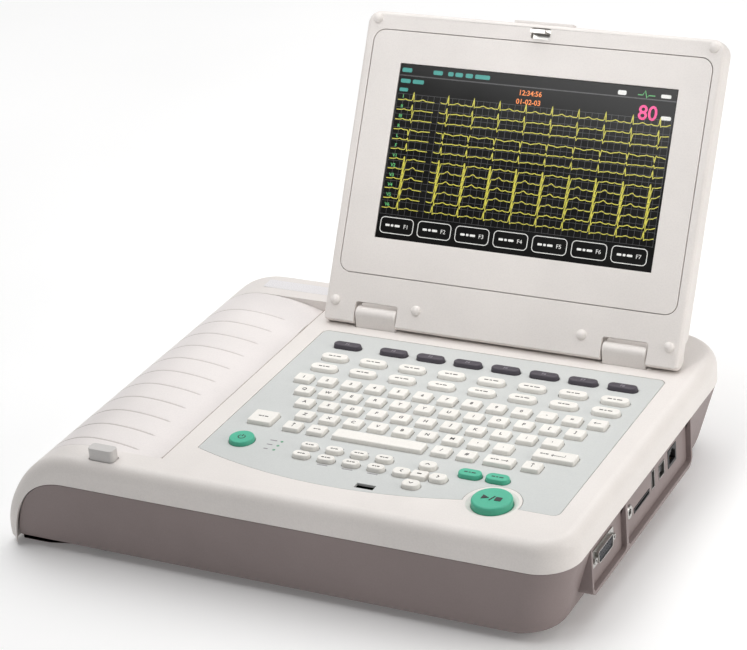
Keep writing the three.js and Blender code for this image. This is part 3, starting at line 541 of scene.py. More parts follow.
def paper_look(name):
    """Wound chart paper: a warm white with the edges of the turns showing as fine rings."""
    look = Shader(name, 0.85)
    low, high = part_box("paper_roll")
    shift = look.node("ShaderNodeMapping")
    shift.inputs["Location"].default_value = (-(low.x + high.x) / 2, 0, -(low.z + high.z) / 2)
    look.link(look.where, shift.inputs["Vector"])
    rings = look.node("ShaderNodeTexWave", wave_type="RINGS", rings_direction="Y", Scale=900)
    look.link(shift.outputs["Vector"], rings.inputs["Vector"])
    tones = [(0, (0.62, 0.58, 0.53)), (1, (0.86, 0.83, 0.79))]
    look.colored(look.ramp(rings.outputs["Fac"], tones))
    look.bump(look.noise(1400, 4), 0.00002)
    return look.material


WHITE = (0.80, 0.757, 0.727)
COVER = (0.80, 0.755, 0.74)
GREY = (0.26, 0.208, 0.202)
PANEL = (0.60, 0.615, 0.605)
KEY = (0.86, 0.835, 0.79)
KEY_GREEN = (0.075, 0.47, 0.31)

white = moulded("shell_white_plastic", WHITE)
# Grooved: the cover's material gets painted shade in its engraved grooves.
cover_white = moulded("cover_white_plastic", COVER, 0.4, grooved=True)
grey = moulded("shell_grey_plastic", GREY, 0.5, grain=0.00004, variation=0.08)
overlay = moulded("panel_overlay", PANEL, 0.5, grain=0.00001, variation=0.03)
key_white = moulded("key_white_rubber", KEY, 0.5, variation=0.03)
key_dark = moulded("key_dark_rubber", (0.066, 0.056, 0.072), 0.5)
key_green = moulded("key_green_rubber", KEY_GREEN, 0.42, variation=0.07)
black = moulded("black_plastic", (0.015, 0.015, 0.016), 0.45)
gear_white = moulded("gear_plastic", (0.72, 0.67, 0.55), 0.45)
battery_blue = moulded("battery_case", (0.035, 0.075, 0.14), 0.5)
ink = printed("legend_ink", (0.035, 0.033, 0.035))
pale_ink = printed("legend_pale_ink", (0.24, 0.22, 0.25))
label_paper = printed("label_film", (0.78, 0.76, 0.77), 0.3)
steel = metal("steel", (0.56, 0.55, 0.53), 0.3, (1, 1, 14))
dull_steel = metal("sheet_steel", (0.42, 0.42, 0.42), 0.42, (12, 1, 1))
brass = metal("brass", (0.62, 0.44, 0.17), 0.28)
dark_rubber = rubber("black_rubber", (0.022, 0.021, 0.021))
board = circuit_board("circuit_board")
# Painted shadow colour for the thin strip along the printer bay's edge.
gap_shadow_brown = moulded("gap_shadow_brown", (0.26, 0.2, 0.16), 0.6)
button_grey = moulded("release_button_plastic", (0.62, 0.6, 0.585), 0.45)
blue_black = moulded("connector_insert", (0.02, 0.022, 0.03), 0.5)
lamp_green = glowing("lamp_green", (0.12, 0.34, 0.2), 0.1)
screen_black = screen_glass("screen_glass")
screen_grey = glowing("screen_grey", (0.05, 0.05, 0.052), 0.4)
screen_yellow = glowing("screen_yellow", (0.5, 0.46, 0.06), 0.55)
screen_green = glowing("screen_green", (0.1, 0.42, 0.14), 0.5)
screen_teal = glowing("screen_teal", (0.03, 0.24, 0.21), 0.5)
screen_orange = glowing("screen_orange", (0.72, 0.2, 0.04), 0.6)
screen_magenta = glowing("screen_magenta", (0.72, 0.05, 0.22), 0.6)
screen_white = glowing("screen_white", (0.62, 0.62, 0.6), 0.5)
paper = paper_look("chart_paper")


# ------------------------------------------------------------------ body casings
def left_fillet(t):
    """The rounded edge of the left end tightens towards the foot."""
    return 0.42 + 0.58 * min(1.0, t / 0.55)


def body_volume(inset, drop, bottom, crest_steps):
    """A closed volume under the deck: a rolled left end, rounded corners, a rounded top edge."""
    line = np.array(curve_points(LEFT_END, 36))
    normal = normals_of(line)
    normal[-1] = (0, 1)
    columns = len(line)

    def corner(x, radius):
        reach = radius - (x + HALF_X)
        return radius - math.sqrt(radius ** 2 - reach ** 2) if reach > 0 else 0.0

    def ring(d, fall, flat_z=None):
        front, back = [], []
        for j in range(columns):
            scale = left_fillet(j / (columns - 1))
            x, z = line[j] - normal[j] * (fall * scale + drop)
            z = max(z, FOOT_Z - drop)
            y0 = -HALF_Y + inset + d * scale + corner(line[j][0], CORNERS["front_left"])
            y1 = HALF_Y - inset - d * scale - corner(line[j][0], CORNERS["back_left"])
            front.append((x, y0, z if flat_z is None else flat_z))
            back.append((x, y1, z if flat_z is None else flat_z))
        height = DECK_Z - drop - fall if flat_z is None else flat_z
        right = []
        for place, side, start in (("front_right", -1, 270), ("back_right", 1, 0)):
            r = CORNERS[place] - inset - d
            x, y = HALF_X - CORNERS[place], side * (HALF_Y - CORNERS[place])
            right += [(a, b, height) for a, b in arc(x, y, r, start, start + 90, 16)]
        return front + right + back[::-1]

    rings = [ring(0, CREST_DROP if crest_steps else 0, bottom)]
    for step in range(crest_steps + 1):
        angle = math.pi / 2 * step / max(crest_steps, 1)
        d = CREST_WIDTH * (1 - math.cos(angle)) if crest_steps else 0
        fall = CREST_DROP * (1 - math.sin(angle)) if crest_steps else 0
        rings.append(ring(d, fall))
    points, faces = loft(rings)
    faces.pop()
    start = (len(rings) - 1) * len(rings[0])
    last = len(rings[0]) - 1
    for j in range(columns - 1):
        faces.append((start + j, start + j + 1, start + last - j - 1, start + last - j))
    faces.append(tuple(range(start + columns - 1, start + last - columns + 2)))
    return points, faces


def under_seam(inset, lift, top, follow_to=SEAM_Z):
    """The section below the line where white meets grey, seen from the front."""
    floor = FOOT_Z + lift
    line = np.array(curve_points(LEFT_SEAM, 32))
    line = line - normals_of(line) * inset
    line = [p for p in line if floor < p[1] <= follow_to]
    belly = UNDERSIDE_Z + lift
    start, end = (RISE[0], floor), (RISE[1], belly)
    outline = [(LEFT_SEAM[0][0] + inset, floor), start, *arch(start, end, 6),
               (HALF_X + 10, belly), (HALF_X + 10, top), (line[-1][0], top)]
    return outline + [tuple(p) for p in line[::-1]]


def arch(start, end, steps):
    """An S-shaped rise between two levels, without its end points."""
    rise = []
    for i in range(1, steps):
        t = i / steps
        rise.append((start[0] + (end[0] - start[0]) * t,
                     start[1] + (end[1] - start[1]) * (t * t * (3 - 2 * t))))
    return rise


HINGE_ROD = 1.5  # radius of the printer cover's hinge rod
HINGE_FLANGE = 3  # how far a lid hinge's flange reaches past its knuckle
LABEL = {"centre": (-128, 139), "size": (62, 13)}
UNDERSIDE_Z = extent("battery_door")[0][2]
BAY_FRONT = extent("printer_cover", BODY)[0][1]
BAY_BACK = extent("printer_cover", BODY)[1][1]
BAY_RIGHT = extent("printer_cover", BODY)[1][0]
START = {"x": 149.6, "y": -118.5, "radius": 14.0}
START_RING = {"x": 149.0, "y": -117.5, "radius": 20.5}
PANEL_TOP = extent("keypad_panel")[1][2]
PANEL_LOW = extent("keypad_panel")[0][2]
PANEL_BOX = extent("keypad_panel", BODY)


def panel_outline(inset):
    """Square at the back, bowed at the front, and cut round the start key."""
    left = PANEL_BOX[0][0] + inset
    right = PANEL_BOX[1][0] - inset
    back = PANEL_BOX[1][1] - inset
    left_front = -114 + inset
    front = -120.6 + inset
    ring = START_RING["radius"] + min(inset, 1)
    reach = math.sqrt(ring ** 2 - (front - START_RING["y"]) ** 2)
    turn = math.degrees(math.atan2(front - START_RING["y"], reach))
    corner = 5
    bow_start = np.array((left, left_front))
    bow_control = np.array((24.6, -149 + inset))
    bow_end = np.array((START_RING["x"] - reach, front))
    bow = []
    for i in range(25):
        t = i / 24
        point = bow_start * (1 - t) ** 2 + 2 * bow_control * t * (1 - t) + bow_end * t * t
        bow.append(tuple(point))
    outline = bow
    outline += arc(START_RING["x"], START_RING["y"], ring, 180 - turn, turn, 24)[1:-1]
    outline += [(START_RING["x"] + reach, front)]
    outline += arc(right - corner, front + corner, corner, -90, 0, 6)
    outline += arc(right - corner, back - corner, corner, 0, 90, 6)
    outline += arc(left + corner, back - corner, corner, 90, 180, 6)
    return outline


def knuckle_spans():
    return [extent(f"hinge_knuckle_{side}", BODY) for side in ("left", "right")]


def top_shell():
    """The white casing with its printer bay, its keypad opening and the start key's dish."""
    outer = body_volume(0, 0, FOOT_Z, 9)
    inner = body_volume(WALL, WALL + 0.5, -5, 0)
    shell = carve(outer, inner)
    shell = carve(shell, prism(under_seam(0, -20, SEAM_Z), -HALF_Y - 9, HALF_Y + 9, "Y"))
    hinge_low, _ = extent("cover_hinge_rod", BODY)
    wall_low = SEAM_Z + 0.7
    inside = body_volume(WALL, WALL + 0.4, wall_low, 0)
    wall_right = -89.0
    front, back, right = BAY_FRONT - GAP, BAY_BACK + GAP, BAY_RIGHT + GAP
    walls = [
        block((FAR_LEFT, front - WALL, wall_low), (wall_right, front, OVER)),
        block((FAR_LEFT, back, wall_low), (wall_right, back + WALL, OVER)),
        block((right, BAY_FRONT - WALL, wall_low), (wall_right, BAY_BACK + WALL, OVER)),
    ]
    walls = [carve(wall, inside, operation="INTERSECT") for wall in walls]
    axis = (hinge_low[0] + HINGE_ROD, hinge_low[2] + HINGE_ROD)
    for low, high in ((hinge_low[1] - 1.5, front), (back, hinge_low[1] + 267.5)):
        lug = turned([(4.2, low), (4.2, high)], *axis, "Y", 24)
        walls.append(carve(lug, outer, operation="INTERSECT"))
    shell = carve(shell, *walls, operation="UNION")
    bay = rect_between(FAR_LEFT, right, front, back, (0.5, 2.5, 2.5, 0.5), 5)
    rod = [(HINGE_ROD + GAP, -141), (HINGE_ROD + GAP, 126)]
    dish = [(14.4, 60), (14.4, 79.4), (15.4, 79.6), (17.6, DECK_Z - 0.2),
            (18.4, DECK_Z + 0.2), (18.4, OVER)]
    return carve(
        shell,
        prism(bay, hinge_low[2] - 3.2, 100),
        prism(panel_outline(-GAP), PANEL_LOW - 0.3, OVER),
        prism(panel_outline(4), 60, OVER),
        turned(rod, *axis, "Y", 20),
        turned(dish, START["x"], START["y"], steps=56),
    )


def deck_holes():
    """The holes for the release button, the lid's hook and the two hinges."""
    low, high = extent("release_button", BODY)
    x, y = (low[0] + high[0]) / 2, low[1] + 4.5
    outlines = [rounded_rect(x, y, 21, 10, 3, 5), rounded_rect(*latch_slot(), 0.1, 1)]
    holes = [prism(outline, 60, OVER) for outline in outlines]
    for low, high in knuckle_spans():
        x0, x1 = low[0] + HINGE_FLANGE - GAP, high[0] - HINGE_FLANGE + GAP
        holes.append(block((x0, HINGE_Y - 6, 60), (x1, HINGE_Y + 6, OVER)))
    return holes


def latch_slot():
    """Centre and size of the slot that takes the lid's hook."""
    return middle_of("latch_slider")[0], -125.9, 14, 5.8


def base_outline(z, right, front, back, extra=0.0, left=-6.0):
    x0, x1 = -HALF_X + left, HALF_X - right - extra
    y0, y1 = -HALF_Y + front + extra, HALF_Y - back - extra
    outline = []
    for sx, sy, name, start in ((-1, -1, "front_left", 180), (1, -1, "front_right", 270),
                                (1, 1, "back_right", 0), (-1, 1, "back_left", 90)):
        r = max(CORNERS[name] - extra, 2)
        x = (x0 + r) if sx < 0 else (x1 - r)
        y = (y0 + r) if sy < 0 else (y1 - r)
        outline += [(a, b, z) for a, b in arc(x, y, r, start, start + 90, 12)]
    return outline


def draft(z):
    """How far the grey walls draw in at a height: (right, front, back)."""
    levels = [-2, UNDERSIDE_Z, 7.5, 10, 15, SEAM_Z]
    pulls = {
        "right": [22.5, 20, 17.6, 15.8, 14, GAP],
        "front": [11.5, 9.4, 7.4, 5.8, 4.4, GAP],
        "back": [9.5, 7.4, 5.0, 3.2, 1.5, GAP],
    }
    return [float(np.interp(z, levels, pulls[side])) for side in ("right", "front", "back")]


CONNECTORS = (
    "ecg_connector", "aux_jack", "card_slot", "usb_host_port", "usb_device_port", "lan_port",
)
HOUSING = {"front": -118.6, "back": 70.6, "low": 21.8}
RECESS = {
    "front": HOUSING["front"] + 2.6, "back": HOUSING["back"] - 2.6, "low": HOUSING["low"] + 3,
    "corner": 3.5,
}
PANEL_FACE = 214.4
DIVIDER_Y = -55.5


def base_shell():
    """The grey casing with its side recesses and its openings at the back and underneath."""
    top = SEAM_Z - GAP
    levels = [-2, 5, UNDERSIDE_Z, 7.5, 10, 15, 30, 45, top]
    outer = carve(
        loft([base_outline(z, *draft(z)) for z in levels]),
        prism(under_seam(GAP, 0, top), -170, 170, "Y"),
        operation="INTERSECT",
    )
    inner_levels = (-2, 9, 15, 45, SEAM_Z + 10)
    inner = carve(
        loft([base_outline(z, *draft(z), extra=WALL) for z in inner_levels]),
        prism(under_seam(GAP + WALL, WALL, 68, 50), -170, 170, "Y"),
        operation="INTERSECT",
    )
    holes = [prism(outline, 196, 230, "X") for outline in recesses()]
    x, _, z = middle_of("mains_inlet")
    holes.append(prism(rounded_rect(x, z, 28, 20.6, 0.5, 3), 140, 170, "Y"))
    low, high = extent("battery_door", BODY)
    holes.append(block((low[0] - 0.3, low[1] - 0.3, -5), (high[0] + 0.3, high[1] + 0.3, 10)))
    return carve(outer, inner, *holes)


def connector_housing():
    """The frame that stands out round the two recesses."""
    top = SEAM_Z - GAP
    front, back = HOUSING["front"], HOUSING["back"]
    face = extent("base_shell", BODY)[1][0]
    lower = rect_between(front, back, HOUSING["low"], top, (6, 8, 0.4, 0.4), 6)[:14]
    frame_block = prism(lower + [(back, top), (front, top)], 206, face, "X")
    return carve(frame_block, *[prism(outline, 200, 230, "X") for outline in recesses()])


def recesses():
    """The outlines, in YZ, of the two recesses that hold the connectors."""
    spans = (RECESS["front"], DIVIDER_Y - 2), (DIVIDER_Y + 2, RECESS["back"])
    return [rect_between(*span, RECESS["low"], 70, RECESS["corner"], 5) for span in spans]


def connector_plate():
    """The wall behind the recesses, cut for each connector."""
    outline = rect_between(
        RECESS["front"], RECESS["back"], RECESS["low"], SEAM_Z - 1.2, RECESS["corner"], 5,
    )
    holes = []
    for node in CONNECTORS:
        low, high = extent(node, BODY)
        _, y, z = (low + high) / 2
        _, width, height = high - low + 0.6
        if node == "ecg_connector":
            width, height = 26.6, 9.6
        radius = width / 2 if node == "aux_jack" else 0.5
        holes.append(rounded_rect(y, z, width, height, radius, 8))
    return plate(outline, holes, PANEL_FACE - WALL, PANEL_FACE, 0.25, "X")


def add_casings():
    piece("top_casing", top_shell(), white, "top_shell", edge=0.35, cuts=deck_holes())
    # A thin brown strip along the printer bay's edge, just proud of the deck: painted shadow of the
    # gap between the cover and the deck, not a part of the machine.
    left, right = BAY_RIGHT + 0.45, BAY_RIGHT + 1.0
    shadow_strip = block((left, BAY_FRONT, DECK_Z - 0.5), (right, BAY_BACK, DECK_Z + 0.03))
    detail("bay_edge_shadow_strip", [shadow_strip], gap_shadow_brown, "top_shell", slot="rubber")
    piece("bottom_casing", base_shell(), grey, "base_shell", edge=0.7)
    detail("connector_housing", [connector_housing()], grey, "base_shell", edge=0.5)
    detail("connector_plate", [connector_plate()], grey, "base_shell")


# ------------------------------------------------------------------ keypad
def cap_boxes(node):
    """The (x, y, width, depth) of each cap in a row of keys, from the left, and their height."""
    mesh = frame["nodes"][node].data
    back = BODY.inverted()
    points = [back @ (v.co / MM) for v in mesh.vertices]
    top = max(p.z for p in points)
    islands = []
    for polygon in mesh.polygons:
        corners = {(round(points[i].x, 2), round(points[i].y, 2)) for i in polygon.vertices}
        if min(points[i].z for i in polygon.vertices) < top - 0.05:
            continue
        touching = [island for island in islands if island & corners]
        for island in touching:
            islands.remove(island)
            corners |= island
        islands.append(corners)
    boxes = []
    for island in islands:
        xs, ys = zip(*island)
        boxes.append(((min(xs) + max(xs)) / 2, (min(ys) + max(ys)) / 2,
                      max(xs) - min(xs), max(ys) - min(ys)))
    return sorted(boxes), top


ARROW_RADIUS = 4.2
ARROW_DEPTH = 9.2  # the bar between the arrow keys is less deep than this
TYPING = ("number_keys", "upper_letter_keys", "middle_letter_keys", "lower_letter_keys",
          "left_modifier_keys", "space_key", "right_modifier_keys", "enter_key", "esc_key")
ROUND_KEYS = ("function_keys", "upper_menu_keys", "lower_menu_keys", "option_keys",
              "mode_key", "copy_key", "power_key")
CAP_EDGE = 0.9  # radius of a cap's upper edge


def corner_radius(node, depth, usual):
    """A key's corner: round ends for some rows, wide corners for the arrow keys."""
    if node == "arrow_keys" and depth > ARROW_DEPTH:
        return ARROW_RADIUS
    return depth / 2 if node in ROUND_KEYS else usual


def key_cap(x, y, width, depth, radius, low, top, dish=0.25, steps=6):
    """One cap: straight sides with a little taper, a rounded edge and a slightly dished top."""
    levels = [(low, 0.0), (top - 2.2, 0.05), (top - CAP_EDGE, 0.3)]
    for i in range(1, 5):
        angle = math.pi / 2 * i / 4
        drop, inset = CAP_EDGE * (1 - math.sin(angle)), CAP_EDGE * (1 - math.cos(angle))
        levels.append((top - drop, 0.3 + inset))
    levels.append((top - dish * 0.6, 1.2 + CAP_EDGE))
    levels.append((top - dish, 2.2 + CAP_EDGE))
    rings = []
    for z, inset in levels:
        r = max(radius - inset, 0.35)
        outline = rounded_rect(x, y, width - 2 * inset, depth - 2 * inset, r, steps)
        rings.append([(a, b, z) for a, b in outline])
    return loft(rings)


def key_rows():
    looks = dict.fromkeys(("mode_key", "copy_key", "power_key"), key_green)
    looks["function_keys"] = key_dark
    for node in (*TYPING, *ROUND_KEYS, "arrow_keys"):
        boxes, top = cap_boxes(node)
        low, high = extent(node, BODY)
        base = block((low[0], low[1], low[2]), (high[0], high[1], low[2] + 1.2))
        caps = [
            key_cap(*box, corner_radius(node, box[3], 1.7), low[2] + 0.8, top) for box in boxes
        ]
        piece(f"{node}_caps", together(base, *caps), looks.get(node, key_white), node)
    low, high = extent("start_key", BODY)
    r = START["radius"]
    top = high[2]
    profile = [
        (0.02, low[2]), (r + 2, low[2]), (r + 2, low[2] + 1), (r, low[2] + 1.01), (r, top - 1.6),
        (r - 0.25, top - 0.8), (r - 0.8, top - 0.25), (r - 1.6, top), (r - 5, top - 0.25),
        (r - 9, top - 0.45), (0.02, top - 0.5),
    ]
    button = turned(profile, START["x"], START["y"], steps=64)
    piece("start_key_cap", button, key_green, "start_key")


def add_keypad():
    holes = []
    for node in (*TYPING, *ROUND_KEYS, "arrow_keys"):
        boxes, _ = cap_boxes(node)
        for x, y, width, depth in boxes:
            radius = corner_radius(node, depth, 1.6) + 0.4
            holes.append(rounded_rect(x, y, width + 0.8, depth + 0.8, radius, 5))
    holes.append(rounded_rect(*latch_slot(), 0.1, 1))
    solid = plate(panel_outline(0), holes, PANEL_LOW, PANEL_TOP, 0.2)
    piece("keypad_overlay", solid, overlay, "keypad_panel")
    key_rows()


# ------------------------------------------------------------------ printer cover
COVER_DIP = [(-150, DECK_Z), (-130, DECK_Z), (-108, 77), (BAY_RIGHT, 69.5)]
COVER_THICKNESS = 2.6
GROOVES = {
    "count": 11, "first": -125.6, "pitch": 21.6, "right": -116.6, "depth": 0.55, "half": 0.55,
}
NOTCH_SPANS = ((BAY_FRONT + 2, BAY_FRONT + 16), (80, 97))  # finger notches, front to back


def groove(x, y, z):
    """How deep the engraved lines are at a place on the cover, from 0 to 1."""
    index = min(max(round((y - GROOVES["first"]) / GROOVES["pitch"]), 0), GROOVES["count"] - 1)
    nearest = GROOVES["first"] + index * GROOVES["pitch"]
    across = max(0.0, 1 - ((y - nearest) / (GROOVES["half"] * 1.5)) ** 2)
    fade = np.interp(z, [45, 66], [0, 1]) if x < -150 else 1.0
    end = np.interp(x, [GROOVES["right"] - 2, GROOVES["right"]], [1, 0])
    return across * float(fade) * float(end)


def printer_cover():
    """The curved sheet with its engraved lines and its two finger notches."""
    line = curve_points(LEFT_END, 60, 0.25) + curve_points(COVER_DIP, 36)[1:]
    line = np.array(line)
    normal = normals_of(line)
    front, back = BAY_FRONT, BAY_BACK
    centres = [GROOVES["first"] + i * GROOVES["pitch"] for i in range(GROOVES["count"])]
    ys = {front, front + 0.3, front + 1.0, back, back - 0.3, back - 1.0}
    ys |= {round(front + 6 * i, 3) for i in range(1, int((back - front) / 6))}
    for centre in centres:
        ys = {y for y in ys if abs(y - centre) > 1.3}
        ys |= {centre + k * 0.275 for k in range(-5, 6)}
    ys = sorted(ys)

    outer = []
    for (x, z), (nx, nz) in zip(line, normal):
        row = []
        for y in ys:
            edge = min(y - front, back - y)
            sink = GROOVES["depth"] * groove(x, y, z)
            sink += 0.35 if edge < 0.1 else 0.1 if edge < 0.5 else 0
            row.append((x - nx * sink, y, z - nz * sink))
        outer.append(row)
    inner = []
    for (x, z), (nx, nz) in zip(line, normal):
        inner.append([(x - nx * COVER_THICKNESS, y, z - nz * COVER_THICKNESS) for y in ys])
    rows, columns = len(line), len(ys)
    points = [p for row in outer for p in row] + [p for row in inner for p in row]
    half = rows * columns
    faces = []
    for i in range(rows - 1):
        for j in range(columns - 1):
            a = i * columns + j
            faces.append((a, a + 1, a + columns + 1, a + columns))
            faces.append((half + a, half + a + columns, half + a + columns + 1, half + a + 1))
    for j in range(columns - 1):
        for i, order in ((0, 1), (rows - 1, -1)):
            a = i * columns + j
            faces.append((a, half + a, half + a + 1, a + 1)[::order])
    for i in range(rows - 1):
        for j, order in ((0, -1), (columns - 1, 1)):
            a = i * columns + j
            faces.append((a, half + a, half + a + columns, a + columns)[::order])
    notches = [
        prism(rect_between(BAY_RIGHT - 8.5, BAY_RIGHT + 5, *span, (2, 0.5, 0.5, 2), 5), 50, OVER)
        for span in NOTCH_SPANS
    ]
    return carve((points, faces), *notches)


def cover_fittings():
    """The hinge barrel and the two ribs that carry the platen."""
    x, _, z = middle_of("cover_hinge_rod")
    barrel = turned([(3.4, BAY_FRONT), (3.4, BAY_BACK)], x, z, "Y", 28)
    bore = turned([(1.8, BAY_FRONT - 5), (1.8, BAY_BACK + 5)], x, z, "Y", 20)
    barrel = carve(barrel, bore)
    px, _, pz = middle_of("platen_roller")
    shape = [(px - 6, pz - 7), (px + 5, pz - 7), (px + 7.3, pz + 8.6), (px - 14, pz + 13.6)]
    hole = arc(px, pz, 2.8, 0, 360, 20)[:-1]
    front, back = -126, 87
    ribs = [plate(shape, [hole], low, low + 2.6, 0.2, "Y") for low in (front - 4, back + 2)]
    return together(barrel, *ribs)


def add_cover():
    sheet = piece(
        "printer_cover_sheet", printer_cover(), cover_white, "printer_cover", edge=0.5, angle=55,
    )
    # How deep each point sits in a groove, which steers the painted shade in the cover's material.
    shadow = sheet.data.attributes.new("groove", "FLOAT", "POINT")
    back = BODY.inverted()
    for vertex, value in zip(sheet.data.vertices, shadow.data):
        value.value = groove(*(back @ (vertex.co / MM)))
    detail("printer_cover_ribs", [cover_fittings()], cover_white, "printer_cover")


# ------------------------------------------------------------------ lid
LID_LOW, LID_HIGH = extent("lid_frame", LID)
LID_X0, LID_X1 = LID_LOW[0], LID_HIGH[0]
LID_MIDDLE = (LID_X0 + LID_X1) / 2
LID_TOP = LID_HIGH[2]
LID_CORNER = 10
LID_EDGE = 3.2
LID_FRONT = extent("lid_bezel", LID)[0][1]
LID_SPLIT = 6.0
BARREL = 8.9
BEZEL_LOW, BEZEL_HIGH = extent("lid_bezel", LID)
BEZEL = (BEZEL_LOW[0], BEZEL_HIGH[0], BEZEL_LOW[2], BEZEL_HIGH[2])
SCREEN_LOW, SCREEN_HIGH = extent("display_window", LID)


def fillet(distance, radius):
    """How far a rounded edge stands back at a distance from the side."""
    if distance >= radius:
        return 0.0
    return radius - math.sqrt(radius ** 2 - (radius - distance) ** 2)


def angle_at(radius, across, side):
    """Where a circle about the hinge reaches a distance across, above or below it."""
    return math.degrees(math.atan2(side * math.sqrt(max(radius ** 2 - across ** 2, 0.01)), across))


def lid_section(x, distance):
    """The lid frame's outline through its thickness, near or away from its ends."""
    corner = fillet(distance, LID_CORNER)
    edge = fillet(distance, LID_EDGE)
    radius = BARREL - edge
    front = LID_FRONT + edge
    top = LID_TOP - corner
    split = LID_SPLIT - edge * 0.3
    turn_from = angle_at(radius, front, -1)
    turn_to = angle_at(radius, split, 1)
    section = arc(0, 0, radius, turn_from, turn_to, 22)
    section += [(split, top)]
    section += arc(front + LID_EDGE, top - LID_EDGE, LID_EDGE, 90, 180, 6)
    return [(x, y, z) for y, z in section]


def lid_frame():
    reaches = [LID_CORNER * (1 - math.cos(math.pi / 2 * i / 12)) for i in range(13)]
    reaches[0] = 0.02
    rings = [lid_section(LID_X0 + r, r) for r in reaches]
    rings += [lid_section(LID_X1 - r, r) for r in reaches[::-1]]
    cavity = rect_between(LID_X0 + 2.5, LID_X1 - 2.5, 14, LID_TOP - 2.5, 7.5, 6)
    margin = 0.45
    window = rect_between(BEZEL[0] - margin, BEZEL[1] + margin, BEZEL[2] - margin,
                          BEZEL[3] + margin, 9 + margin, 8)
    middle = middle_of("latch_slider", LID)[0]
    tools = [
        prism(cavity, LID_FRONT + 2.5, 20, "Y"), prism(window, -20, 20, "Y"),
        prism(rounded_rect(middle, 221.3, 15, 7.8, 1.2, 4), -20, 0, "Y"),
        block((middle - 23.8, LID_FRONT + 2.2, 220), (middle + 23.8, 4.8, 240)),
    ]
    for low, high in knuckle_spans():
        x0, x1 = low[0] + HINGE_FLANGE - 0.5, high[0] - HINGE_FLANGE + 0.5
        tools.append(prism(rect_between(x0, x1, -20, 8, (0.5, 0.5, 2, 2), 4), -20, 20, "Y"))
    return carve(loft(rings), *tools)


def bumpers():
    """Soft domes that meet the deck when the lid is shut."""
    height = 2.6
    domes = []
    places = [(-73.4, 7), (-6.1, 7), (126.4, 7), (193.6, 7), (-73.4, 222.5), (193.6, 222.5)]
    for x, z in places:
        rise = [(4.0 * math.cos(a), LID_FRONT - height * math.sin(a) ** 1.2)
                for a in np.linspace(0, math.pi / 2 - 0.02, 8)]
        profile = [(4.0, LID_FRONT + 0.6), *rise]
        domes.append(turned(profile, x, z, "Y", 24))
    return together(*domes)


def lid_back():
    """The rear shell of the lid, crowned at its edges and hollow inside."""
    low, high = extent("lid_back", LID)
    rings = []
    depth = high[1] - low[1]
    radius = 5.5
    crown = [math.sin(math.pi / 2 * i / 7) for i in range(8)]
    levels = [0, 0.2] + [depth - radius + radius * rise for rise in crown]
    for level in levels:
        inset = 0.35 + fillet(max(depth - level, 0), radius)
        bottom = low[2] + np.interp(level, [0, 3.5, 6, depth], [0, 0, 3.5, 12.4])
        top = high[2] - inset - 0.2
        outline = rect_between(LID_X0 + inset, LID_X1 - inset, bottom, top,
                               (5, 5, 10 - inset, 10 - inset), 8)
        rings.append([(x, low[1] + level, z) for x, z in outline])
    room = rect_between(LID_X0 + 3, LID_X1 - 3, 24, LID_TOP - 3, 7, 6)
    panel = rounded_rect(LID_MIDDLE, 122, 232, 158, 12, 8)
    inside = rounded_rect(LID_MIDDLE, 122, 229, 155, 10.5, 8)
    line = carve(prism(panel, high[1] - 0.45, high[1] + 5, "Y"), prism(inside, 0, 30, "Y"))
    return carve(loft(rings), prism(room, 0, high[1] - 2.5, "Y"), line)


def add_lid():
    front = together(lid_frame(), bumpers())
    piece("lid_front_frame", front, white, "lid_frame", place=LID, edge=0.45)
    piece("lid_rear_shell", lid_back(), white, "lid_back", place=LID, edge=0.4)
    hole = rect_between(SCREEN_LOW[0] - 0.3, SCREEN_HIGH[0] + 0.3, SCREEN_LOW[2] - 0.3,
                        SCREEN_HIGH[2] + 0.3, 0.4, 4)
    solid = plate(rect_between(*BEZEL, 9, 8), [hole], BEZEL_LOW[1], BEZEL_HIGH[1], 0.5, "Y")
    piece("lid_bezel_plate", solid, white, "lid_bezel", place=LID)


def knuckle(side):
    low, high = extent(f"hinge_knuckle_{side}", BODY)
    x0, x1 = low[0] + HINGE_FLANGE, high[0] - HINGE_FLANGE
    radius = 5.7
    rings = []
    reaches = [1.6 * (1 - math.cos(math.pi / 2 * i / 5)) for i in range(6)]
    reaches[0] = 0.01
    for x, distance in [(x0 + r, r) for r in reaches] + [(x1 - r, r) for r in reaches[::-1]]:
        r = radius - fillet(distance, 1.6)
        section = [(HINGE_Y - r, 72)] + arc(HINGE_Y, HINGE_Z, r, 180, 0, 20) + [(HINGE_Y + r, 72)]
        rings.append([(x, y, z) for y, z in section])
    body = loft(rings)
    flange = block((low[0], HINGE_Y - 9, 72), (high[0], HINGE_Y + 9, 75))
    bore = turned([(2.3, low[0] - 1), (2.3, high[0] + 1)], HINGE_Y, HINGE_Z, "X", 20)
    return carve(carve(body, flange, operation="UNION"), bore)


def add_hinges():
    for side in ("left", "right"):
        piece(f"hinge_housing_{side}", knuckle(side), white, f"hinge_knuckle_{side}", edge=0.3)
        low, high = extent(f"hinge_pin_{side}", BODY)
        pin = turned([(1.6, low[0]), (2.0, low[0] + 0.4), (2.0, high[0] - 0.4), (1.6, high[0])],
                     HINGE_Y, HINGE_Z, "X", 24)
        piece(f"hinge_shaft_{side}", pin, steel, f"hinge_pin_{side}")


# ------------------------------------------------------------------ print and lettering
def lettering(text, size, x=0.0, y=0.0, low=0.0, high=0.1, weight=0.02, axis="Z"):
    """Characters in the built-in face, centred on a point, as a thin raised solid."""
    curve = bpy.data.curves.new("lettering", "FONT")
    curve.body = text
    curve.size = size
    curve.align_x = "CENTER"
    curve.align_y = "CENTER"
    curve.resolution_u = 3
    curve.offset = weight * size
    curve.extrude = (high - low) / 2
    points, faces = filled(curve)
    centre = (low + high) / 2
    across, up, _ = zip(*points)
    dx, dy = x - (min(across) + max(across)) / 2, y - (min(up) + max(up)) / 2
    return [AXES[axis](a + dx, b + dy, c + centre) for a, b, c in points], faces


